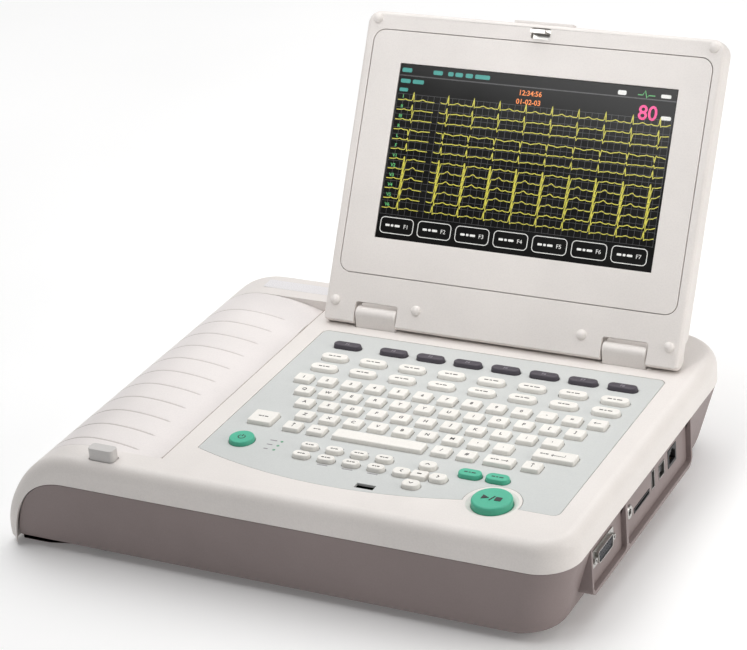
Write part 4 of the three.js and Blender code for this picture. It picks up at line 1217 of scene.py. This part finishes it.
def stroke(line, width, low, high, axis="Z"):
    """A ribbon of even width along an open line."""
    line = np.array(line, float)
    side = normals_of(line) * width / 2
    place = AXES[axis]
    rings = []
    for (a, b), (da, db) in zip(line, side):
        rings.append([place(a - da, b - db, low), place(a + da, b + db, low),
                      place(a + da, b + db, high), place(a - da, b - db, high)])
    return loft(rings)


def bar(a, b, width, height, low, high, axis="Z"):
    return prism(rounded_rect(a, b, width, height, height * 0.3, 2), low, high, axis)


def band(outline, inner, low, high, axis="Z"):
    """A closed ring between two outlines of equal count."""
    place = AXES[axis]
    count = len(outline)
    loops = [(outline, low), (outline, high), (inner, high), (inner, low)]
    points = [place(a, b, c) for loop, c in loops for a, b in loop]
    faces = []
    for level in range(4):
        for i in range(count):
            j = (i + 1) % count
            below, above = level * count, (level + 1) % 4 * count
            faces.append((below + i, below + j, above + j, above + i))
    return points, faces


def word(a, b, length, height, low, high, axis="Z"):
    """A row of short marks that stands for a printed word."""
    shares = (0.3, 0.18, 0.36)
    gap = (1 - sum(shares)) / 2
    marks, reached = [], 0.0
    for share in shares:
        middle = a - length / 2 + length * (reached + share / 2)
        marks.append(bar(middle, b, length * share, height, low, high, axis))
        reached += share + gap
    return together(*marks)


# ------------------------------------------------------------------ legends
CAP_TOP = extent("number_keys")[1][2]
PRINT_LOW, PRINT_HIGH = CAP_TOP - 0.32, CAP_TOP - 0.16
LETTER = 4.4  # size of the characters on the typing keys
TYPED_LEGENDS = {
    "number_keys": "1234567890-=", "upper_letter_keys": "QWERTYUIOP[]",
    "middle_letter_keys": "ASDFGHJKL;'", "lower_letter_keys": "ZXCVBNM,.",
}
WORD_SHARES = {  # how much of each cap the printed word takes
    "upper_menu_keys": 0.46, "lower_menu_keys": 0.4, "option_keys": 0.42, "mode_key": 0.5,
    "copy_key": 0.5, "esc_key": 0.4,
}


def on_key(text, x, y, size=LETTER):
    return lettering(text, size, x, y, PRINT_LOW, PRINT_HIGH)


def key_line(line, width):
    return stroke(line, width, PRINT_LOW, PRINT_HIGH)


def key_word(x, y, length, height=1.0):
    return word(x, y, length, height, PRINT_LOW, PRINT_HIGH)


def legends(node, marks, material=ink, name="legends"):
    detail(f"{node}_{name}", marks, material, node)


def chevron(x, y, size, turn, width=0.75):
    cos, sin = math.cos(math.radians(turn)), math.sin(math.radians(turn))
    line = [(-size / 2, -size), (size / 2, 0), (-size / 2, size)]
    return key_line([(x + a * cos - b * sin, y + a * sin + b * cos) for a, b in line], width)


def arrow(x, y, length, turn):
    angle = math.radians(turn)
    tip = (x + length / 2 * math.cos(angle), y + length / 2 * math.sin(angle))
    tail = (x - length / 2 * math.cos(angle), y - length / 2 * math.sin(angle))
    return together(key_line([tail, tip], 0.45), chevron(*tip, 1.1, turn, 0.45))


def typed_legends():
    for node, characters in TYPED_LEGENDS.items():
        boxes, _ = cap_boxes(node)
        marks = [on_key(text, x, y) for (x, y, _, _), text in zip(boxes, characters)]
        if len(boxes) > len(characters):
            x, y, _, _ = boxes[-1]
            marks.append(arrow(x, y, 4.6, 180))
        legends(node, marks)


def word_legends():
    """Each named key gets a row of short marks, since the words are left out."""
    for node, share in WORD_SHARES.items():
        boxes, _ = cap_boxes(node)
        legends(node, [
            key_word(x, y, width * (share + 0.05 * (i % 3)))
            for i, (x, y, width, _) in enumerate(boxes)
        ])
    boxes, _ = cap_boxes("function_keys")
    marks = [on_key(f"F{i + 1}", x, y, 3.6) for i, (x, y, _, _) in enumerate(boxes)]
    legends("function_keys", marks, pale_ink)


def arrow_legends():
    """Four chevrons that point away from the bar in the middle."""
    boxes, _ = cap_boxes("arrow_keys")
    middle = min(boxes, key=lambda box: box[3])
    marks = [bar(middle[0], middle[1], 3.4, 1.2, PRINT_LOW, PRINT_HIGH)]
    for box in boxes:
        if box == middle:
            continue
        turn = math.degrees(math.atan2(box[1] - middle[1], box[0] - middle[0]))
        marks.append(chevron(box[0], box[1], 1.5, round(turn / 90) * 90))
    legends("arrow_keys", marks)


def symbol_legends():
    arrow_legends()
    (x, y, _, _), = cap_boxes("enter_key")[0]
    hook = key_line([(x + 7, y + 1.7), (x + 7, y - 0.6), (x - 2, y - 0.6)], 0.5)
    marks = [hook, chevron(x - 2, y - 0.6, 1.3, 180, 0.5), key_word(x - 8, y, 6)]
    legends("enter_key", marks, name="legend")

    (x0, y0, _, _), (x1, y1, _, _) = cap_boxes("left_modifier_keys")[0]
    legends("left_modifier_keys", [arrow(x0, y0, 4.4, 90), key_word(x1, y1, 5.4, 0.9)])
    boxes, _ = cap_boxes("right_modifier_keys")
    marks = [on_key(text, x, y) for text, (x, y, _, _) in zip("/#", boxes)]
    x, y, _, _ = boxes[2]
    marks += [arrow(x + 3.5, y, 4.4, 0), key_word(x - 3.5, y, 6, 0.9)]
    x, y, _, _ = boxes[3]
    marks.append(arrow(x, y, 4.4, 90))
    legends("right_modifier_keys", marks)

    (x, y, _, _), = cap_boxes("power_key")[0]
    ring = key_line(arc(x, y, 2.5, 125, 415, 18), 0.7)
    legends("power_key", [ring, bar(x, y + 1.9, 0.7, 3.0, PRINT_LOW, PRINT_HIGH)], name="symbol")

    x, y = START["x"], START["y"]
    high = extent("start_key")[1][2] - 0.12
    triangle = prism([(x - 7, y - 2.6), (x - 2.2, y), (x - 7, y + 2.6)], high - 0.5, high)
    slash = stroke([(x - 0.9, y - 2.9), (x + 1.1, y + 2.9)], 0.7, high - 0.5, high)
    square = prism(rounded_rect(x + 4.6, y, 4.6, 4.6, 0.3, 2), high - 0.5, high)
    legends("start_key", [triangle, slash, square], name="symbol")


LAMP_ROWS = (-88.5, -94.5, -100.5)


def panel_print():
    """Small marks printed on the overlay, and the three lamps."""
    low, high = PANEL_TOP - 0.05, PANEL_TOP + 0.06
    marks = []
    for y, length in ((-84.6, 9), (-109.0, 8)):
        for x in (19.0, 38.1, 57.1):
            marks.append(bar(x, y, length, 0.8, low, high))
    marks += [bar(-29.5, y, 5.4 - i, 0.9, low, high) for i, y in enumerate(LAMP_ROWS)]
    detail("panel_marks", marks, pale_ink, "keypad_panel")
    dome = [(1.1, low), (1.1, high), (0.6, high + 0.12), (0.02, high + 0.15)]
    lamps = [turned(dome, -23.0, y, steps=20) for y in LAMP_ROWS]
    detail("panel_lamps", lamps, lamp_green, "keypad_panel")


def blank_label():
    low = DECK_Z - 0.02
    outline = rounded_rect(*LABEL["centre"], *LABEL["size"], 1.5, 4)
    label = plate(outline, [], low, low + 0.16, 0.03)
    detail("blank_label", [label], label_paper, "top_shell")


# ------------------------------------------------------------------ screen
GLASS_FRONT = SCREEN_LOW[1]
PRINT_FRONT = GLASS_FRONT + 0.03
PRINT_BACK = GLASS_FRONT + 0.2
SCREEN_W = SCREEN_HIGH[0] - SCREEN_LOW[0]
SCREEN_H = SCREEN_HIGH[2] - SCREEN_LOW[2]
BEATS = (0.065, 0.195, 0.29, 0.385, 0.48, 0.575, 0.67, 0.765, 0.86, 0.955)
ERASE = (0.145, 0.168)
GRID = {"top": 0.17, "bottom": 0.865, "pitch": 0.023}
FIRST_ROW, ROW_PITCH = 0.205, 0.0565
LEADS = [  # label, height of the spike, depth of the dip after it, height of the last wave, in mm
    ("I", 6.5, 1.0, 1.3), ("II", 4.5, 6.0, 0.5), ("III", 1.2, 2.0, 0.4), ("R", -4.5, -1.0, -0.9),
    ("L", 1.5, 1.0, 0.3), ("F", 5.0, 1.2, 0.8), ("V1", 2.5, 7.5, 1.0), ("V2", 8.5, 7.0, 2.2),
    ("V3", 9.0, 6.5, 2.0), ("V4", 10.0, 5.0, 1.6), ("V5", 8.5, 2.5, 1.2), ("V6", 6.0, 1.2, 1.0),
]


def on_screen(u, v):
    """A place on the screen from shares of its width and, downwards, of its height."""
    return SCREEN_LOW[0] + u * SCREEN_W, SCREEN_HIGH[2] - v * SCREEN_H


def screen_bar(u0, u1, v0, v1):
    a, b = on_screen((u0 + u1) / 2, (v0 + v1) / 2)
    return bar(a, b, (u1 - u0) * SCREEN_W, (v1 - v0) * SCREEN_H, PRINT_FRONT, PRINT_BACK, "Y")


def screen_text(text, size, u, v):
    a, b = on_screen(u, v)
    return lettering(text, size, a, b, PRINT_FRONT, PRINT_BACK, 0.015, "Y")


def wave(u, spike, dip, late):
    """Height of a trace at a place along the screen, from the beats near it."""
    height = 0.0
    for beat in BEATS:
        gap = (u - beat) * 100
        parts = ((-2.9, 0.55, 0.7), (0, 0.2, spike), (0.42, 0.2, -dip), (3.6, 0.9, late))
        for centre, spread, amount in parts:
            height += amount * math.exp(-((gap - centre) / spread) ** 2)
    return height


def trace(row, spike, dip, late, start, end):
    offsets = (-4.2, -3.6, -3.2, -2.9, -2.6, -2.2, -1.6, -0.6, -0.3, -0.12, 0,
               0.12, 0.24, 0.42, 0.6, 0.9, 1.6, 2.4, 3.0, 3.6, 4.2, 4.8)
    places = {start, end} | {round(beat + offset / 100, 5) for beat in BEATS for offset in offsets}
    places = [u for u in sorted(places) if start <= u <= end]
    line = []
    for u in places:
        a, b = on_screen(u, FIRST_ROW + row * ROW_PITCH)
        line.append((a, b + wave(u, spike, dip, late)))
    return stroke(line, 0.62, PRINT_FRONT, PRINT_BACK, "Y")


def softkeys():
    outlines, words = [], []
    for i in range(7):
        a, b = on_screen(0.012 + 0.0625 + i * 0.1405, 0.925)
        width, height = 0.125 * SCREEN_W, 0.095 * SCREEN_H
        outer = rounded_rect(a, b, width, height, 3.4, 5)
        inner = rounded_rect(a, b, width - 1.1, height - 1.1, 2.85, 5)
        outlines.append(band(outer, inner, PRINT_FRONT, PRINT_BACK, "Y"))
        words.append(word(a - 3.4, b, 12, 1.7, PRINT_FRONT, PRINT_BACK, "Y"))
        words.append(lettering(f"F{i + 1}", 4.4, a + 7.4, b, PRINT_FRONT, PRINT_BACK, 0.0, "Y"))
    return together(*outlines, *words)


def screen_grid():
    lines = []
    columns = int(1 / GRID["pitch"])
    for i in range(columns + 1):
        u = 0.004 + i * GRID["pitch"]
        if u < 0.996:
            lines.append(screen_bar(u - 0.0006, u + 0.0006, GRID["top"], GRID["bottom"]))
    step = GRID["pitch"] * SCREEN_W / SCREEN_H
    rows = int((GRID["bottom"] - GRID["top"]) / step)
    for i in range(rows + 1):
        v = GRID["top"] + i * step
        lines.append(screen_bar(0.004, 0.996, v - 0.001, v + 0.001))
    return together(*lines)


def add_screen():
    outline = rect_between(
        SCREEN_LOW[0], SCREEN_HIGH[0], SCREEN_LOW[2], SCREEN_HIGH[2], 0.8, 3,
    )
    glass = plate(outline, [], GLASS_FRONT + 0.08, SCREEN_HIGH[1], 0.15, "Y")
    piece("screen_glass", glass, screen_black, "display_window", place=LID)
    refined("display_panel", black, 0.4, LID)

    def show(name, solids, material):
        detail(name, solids, material, "display_window", slot="display", place=LID)

    show("screen_grid", [screen_grid(), screen_bar(0.0, 1.0, 0.062, 0.068)], screen_grey)
    traces = []
    for row, (_, *shape) in enumerate(LEADS):
        traces.append(trace(row, *shape, 0.008, ERASE[0]))
        traces.append(trace(row, *shape, ERASE[1], 0.992))
    show("screen_traces", traces, screen_yellow)
    labels = [
        screen_text(lead[0], 3.6, 0.026, FIRST_ROW - 0.02 + row * ROW_PITCH)
        for row, lead in enumerate(LEADS)
    ]
    beat = [(0.865, 0.045), (0.882, 0.045), (0.889, 0.02), (0.897, 0.06), (0.903, 0.045),
            (0.925, 0.045)]
    heart = stroke([on_screen(u, v) for u, v in beat], 0.6, PRINT_FRONT, PRINT_BACK, "Y")
    show("screen_labels", [*labels, heart], screen_green)
    top_row = ((0.008, 0.045), (0.125, 0.16), (0.18, 0.2), (0.207, 0.235), (0.245, 0.272),
               (0.28, 0.335))
    status = [screen_bar(*span, 0.022, 0.046) for span in top_row]
    status += [screen_bar(*span, 0.085, 0.108) for span in ((0.008, 0.045), (0.053, 0.095))]
    status.append(screen_bar(0.008, 0.04, 0.137, 0.157))
    show("screen_status", status, screen_teal)
    clock = [screen_text("12:34:56", 5.4, 0.49, 0.098), screen_text("01-02-03", 5.4, 0.485, 0.148)]
    show("screen_clock", clock, screen_orange)
    show("screen_rate", [screen_text("80", 15, 0.908, 0.14)], screen_magenta)
    icons = ((0.795, 0.825, 0.03, 0.055), (0.945, 0.98, 0.032, 0.052), (0.955, 0.99, 0.15, 0.172))
    show("screen_softkeys", [softkeys(), *[screen_bar(*icon) for icon in icons]], screen_white)


# ------------------------------------------------------------------ connectors
def facing(node):
    """Middle in Y and Z, width, height, inner end and outer face of a side connector."""
    low, high = extent(node, BODY)
    _, y, z = (low + high) / 2
    _, width, height = high - low
    return y, z, width, height, low[0], high[0]


def add_data_connector():
    y, z, width, height, inner, _ = facing("ecg_connector")
    flange = plate(
        rounded_rect(y, z, width, height, 1.6, 5), [shroud_outline(y, z, 24.6, 8.0)],
        PANEL_FACE + 0.01, PANEL_FACE + 0.9, 0.12, "X",
    )
    outlines = shroud_outline(y, z, 26.0, 9.2), shroud_outline(y, z, 25.0, 8.2)
    shroud = band(*outlines, inner, PANEL_FACE + 3.4, "X")
    post = [(2.6, 0.8), (2.6, 2.6), (2.2, 3.0), (1.1, 3.0), (1.0, 1.2), (0.02, 1.2)]
    post = [(r, PANEL_FACE + out) for r, out in post]
    posts = [turned(post, y + side * (width / 2 - 3.4), z, "X", 6) for side in (-1, 1)]
    piece("data_connector_metal", together(flange, shroud, *posts), steel, "ecg_connector")
    insert = prism(shroud_outline(y, z, 24.6, 7.8), inner + 1, PANEL_FACE + 2.6, "X")
    hole = [(0.55, PANEL_FACE - 1), (0.55, PANEL_FACE + 4)]
    holes = []
    for row, count in ((1.4, 8), (-1.4, 7)):
        for i in range(count):
            at = y + (i - (count - 1) / 2) * 2.75
            holes.append(turned(hole, at, z + row, "X", 12))
    insert = carve(insert, together(*holes))
    detail("data_connector_insert", [insert], blue_black, "ecg_connector", slot="black_plastic")


def shroud_outline(y, z, width, height):
    """The keyed outline of a D-shaped connector, wider at the top, in YZ."""
    lean = 0.8
    outline = []
    for sy, sz, start in ((-1, -1, 180), (1, -1, 270), (1, 1, 0), (-1, 1, 90)):
        r = 1.7
        at = width / 2 - r - (lean if sz < 0 else 0)
        outline += arc(y + sy * at, z + sz * (height / 2 - r), r, start, start + 90, 5)
    return outline


def add_side_ports():
    y, z, width, height, inner, face = facing("aux_jack")
    r = width / 2
    nut = [(r, inner), (r, face - 0.5), (r - 0.5, face), (2.6, face), (2.2, face - 0.6),
           (2.2, face - 6), (0.02, face - 6)]
    piece("aux_jack_barrel", turned(nut, y, z, "X", 32), steel, "aux_jack")

    y, z, width, height, inner, face = facing("card_slot")
    body = carve(
        prism(rounded_rect(y, z, width, height, 0.8, 4), inner, face, "X"),
        prism(rounded_rect(y, z, width - 3, 1.8, 0.5, 3), face - 9, face + 2, "X"),
    )
    piece("card_slot_frame", body, black, "card_slot", edge=0.15)

    for node, tongue in (("usb_host_port", (1.9, 11.0)), ("usb_device_port", (5.4, 4.6))):
        y, z, width, height, inner, face = facing(node)
        room = rounded_rect(y, z, width - 1.0, height - 1.0, 0.4, 3)
        shell = carve(
            prism(rounded_rect(y, z, width, height, 0.7, 4), inner, face, "X"),
            prism(room, face - 10, face + 2, "X"),
        )
        piece(f"{node}_shell", shell, steel, node, edge=0.08)
        inside = prism(rounded_rect(y, z, *tongue, 0.3, 2), inner + 2, face - 1.2, "X")
        detail(f"{node}_tongue", [inside], black, node, slot="black_plastic", edge=0.12)

    y, z, width, height, inner, face = facing("lan_port")
    steps = [(5.8, 2.6), (3.4, 2.6), (3.4, 4.0), (1.7, 4.0), (1.7, 5.4)]  # half of the mouth
    mouth = [(y - 5.8, z - 4.6), (y + 5.8, z - 4.6)]
    mouth += [(y + a, z + b) for a, b in steps] + [(y - a, z + b) for a, b in steps[::-1]]
    body = carve(
        prism(rounded_rect(y, z, width, height, 0.6, 3), inner, face, "X"),
        prism(mouth, face - 11, face + 2, "X"),
    )
    piece("lan_port_body", body, black, "lan_port", edge=0.12)
    contacts = []
    for i in range(8):
        at = y + (i - 3.5) * 1.02
        contacts.append(block((face - 10, at - 0.2, z - 4.7), (face - 2.5, at + 0.2, z - 3.9)))
    detail("lan_port_contacts", contacts, brass, "lan_port", slot="brass")


# ------------------------------------------------------------------ latch, foot and inner parts
def add_latch():
    """The steel hook and the white finger tab that moves it."""
    solid = cad_solid("latch_slider", LID)
    low, high = extent("latch_slider", LID)
    split = block((low[0] - 5, low[1] - 5, LID_TOP - 0.8), tuple(high + 5))
    tab = carve(solid, split, operation="INTERSECT")
    piece("latch_hook", carve(solid, split), steel, "latch_slider", place=LID, edge=0.25)
    detail("latch_tab", [tab], white, "latch_slider", slot="shell_white", place=LID, edge=0.3)


def add_battery_door():
    low, high = extent("battery_door", BODY)
    x, y, _ = (low + high) / 2
    width, depth, _ = high - low
    base = low[2]
    door = plate(rounded_rect(x, y, width, depth, 1.2, 4), [], base, high[2], 0.3)
    grip = [
        prism(rounded_rect(x, low[1] + 10 + i * 3.2, 22, 1.4, 0.7, 4), base - 1, base + 0.7)
        for i in range(4)
    ]
    screw_y = y + 31
    screw_places = (x - 33, x + 33)
    wells = [turned([(3.4, base - 1), (3.4, base + 1.0)], at, screw_y, steps=28)
             for at in screw_places]
    piece("battery_door_cover", carve(door, *grip, *wells), grey, "battery_door")
    head = [(0.02, 0.3), (2.4, 0.3), (2.9, 0.6), (2.9, 1.2), (0.02, 1.2)]
    head = [(r, base + up) for r, up in head]
    screws = []
    for at in screw_places:
        cross = [block((at - a, screw_y - b, base), (at + a, screw_y + b, base + 0.8))
                 for a, b in ((1.5, 0.3), (0.3, 1.5))]
        screws.append(carve(turned(head, at, screw_y, steps=28), *cross))
    detail("battery_door_screws", screws, steel, "battery_door", slot="steel")


def add_feet():
    for place in ("front_left", "front_right", "back_left", "back_right"):
        node = f"foot_{place}"
        low, high = extent(node, BODY)
        x, y, _ = (low + high) / 2
        r, base = (high[0] - low[0]) / 2, low[2]
        profile = [
            (0.02, base + 0.5), (r - 3.2, base + 0.5), (r - 2.6, base), (r - 1.2, base),
            (r - 0.4, base + 0.4), (r, base + 1.3), (r, high[2] - 0.3), (r - 0.3, high[2]),
            (0.02, high[2]),
        ]
        piece(f"{node}_pad", turned(profile, x, y, steps=40), dark_rubber, node)


def add_inner_parts():
    for node, material, edge in (
        ("keypad_board", board, 0.1), ("main_board", board, 0.15), ("power_supply", black, 0.8),
        ("battery_pack", battery_blue, 2.0), ("printer_chassis", black, 0.35),
        ("thermal_print_head", dull_steel, 0.3), ("stepper_motor", steel, 0.4),
        ("cover_hinge_rod", steel, 0.2), ("release_spring", steel, 0.0),
        ("release_button", button_grey, 0.7), ("platen_roller", dark_rubber, 0.3),
        ("platen_gear", gear_white, 0.12), ("idler_gear", gear_white, 0.12),
        ("motor_pinion", brass, 0.1), ("paper_roll", paper, 0.2), ("paper_core", black, 0.3),
        ("mains_inlet", black, 0.25),
    ):
        refined(node, material, edge)
    spring = bpy.data.objects["release_spring_body"]
    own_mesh(spring)


# ------------------------------------------------------------------ view, light and floor
CAMERA = {"place": (0.7678, -1.4244, 0.9017), "turn": (64.1245, 4.4357, 26.3998), "lens": 120.5}
WORLD_LIGHT = 0.16
FLOOR_REACH = 12
FLOOR_GLOW = 0.1


def camera():
    data = bpy.data.cameras.new("camera")
    data.lens = CAMERA["lens"]
    data.sensor_width = 36
    data.clip_end = 20
    thing = put("camera", data)
    turn = Euler([math.radians(angle) for angle in CAMERA["turn"]]).to_matrix().to_4x4()
    thing.matrix_world = Matrix.Translation(CAMERA["place"]) @ turn
    bpy.context.scene.camera = thing


def softbox(name, place, aim, size, power, color=(1, 1, 1), spread=180):
    data = bpy.data.lights.new(name, "AREA")
    data.shape = "RECTANGLE"
    data.size, data.size_y = size
    data.energy = power
    data.color = color
    data.spread = math.radians(spread)
    thing = put(name, data)
    toward = (Vector(aim) - Vector(place)).to_track_quat("-Z", "Y")
    thing.matrix_world = Matrix.Translation(place) @ toward.to_matrix().to_4x4()


def add_floor():
    look = Shader("floor_paint", 0.7)
    look.colored(look.ramp(look.noise(3, 2), [(0.3, (0.93,) * 3), (0.7, (0.96,) * 3)]))
    look.surface.inputs["Emission Color"].default_value = (1, 1, 1, 1)
    look.surface.inputs["Emission Strength"].default_value = FLOOR_GLOW
    mesh = bpy.data.meshes.new("floor")
    signs = ((-1, -1), (1, -1), (1, 1), (-1, 1))
    corners = [(x * FLOOR_REACH, y * FLOOR_REACH, 0) for x, y in signs]
    mesh.from_pydata(corners, [], [(0, 1, 2, 3)])
    mesh.materials.append(look.material)
    put("floor", mesh)


def studio():
    world = bpy.data.worlds.new("studio")
    world.use_nodes = True
    background = world.node_tree.nodes["Background"]
    background.inputs["Color"].default_value = (1, 1, 1, 1)
    background.inputs["Strength"].default_value = WORLD_LIGHT
    bpy.context.scene.world = world
    softbox("top_light", (-0.3, 0.7, 2.5), (0, 0.1, 0.05), (4.2, 3.6), 84)
    softbox("lid_light", (-0.12, -0.38, 0.78), (0.06, 0.13, 0.2), (0.55, 0.3), 0.42, spread=60)
    softbox("side_light", (1.9, 0.1, 0.7), (0.2, -0.05, 0.05), (0.9, 1.2), 14, (1, 0.97, 0.93))
    bpy.context.scene.view_settings.view_transform = "Standard"


add_casings()
add_keypad()
add_cover()
add_lid()
add_hinges()
typed_legends()
word_legends()
symbol_legends()
panel_print()
blank_label()
add_screen()
add_data_connector()
add_side_ports()
add_latch()
add_battery_door()
add_feet()
add_inner_parts()
camera()
add_floor()
studio()
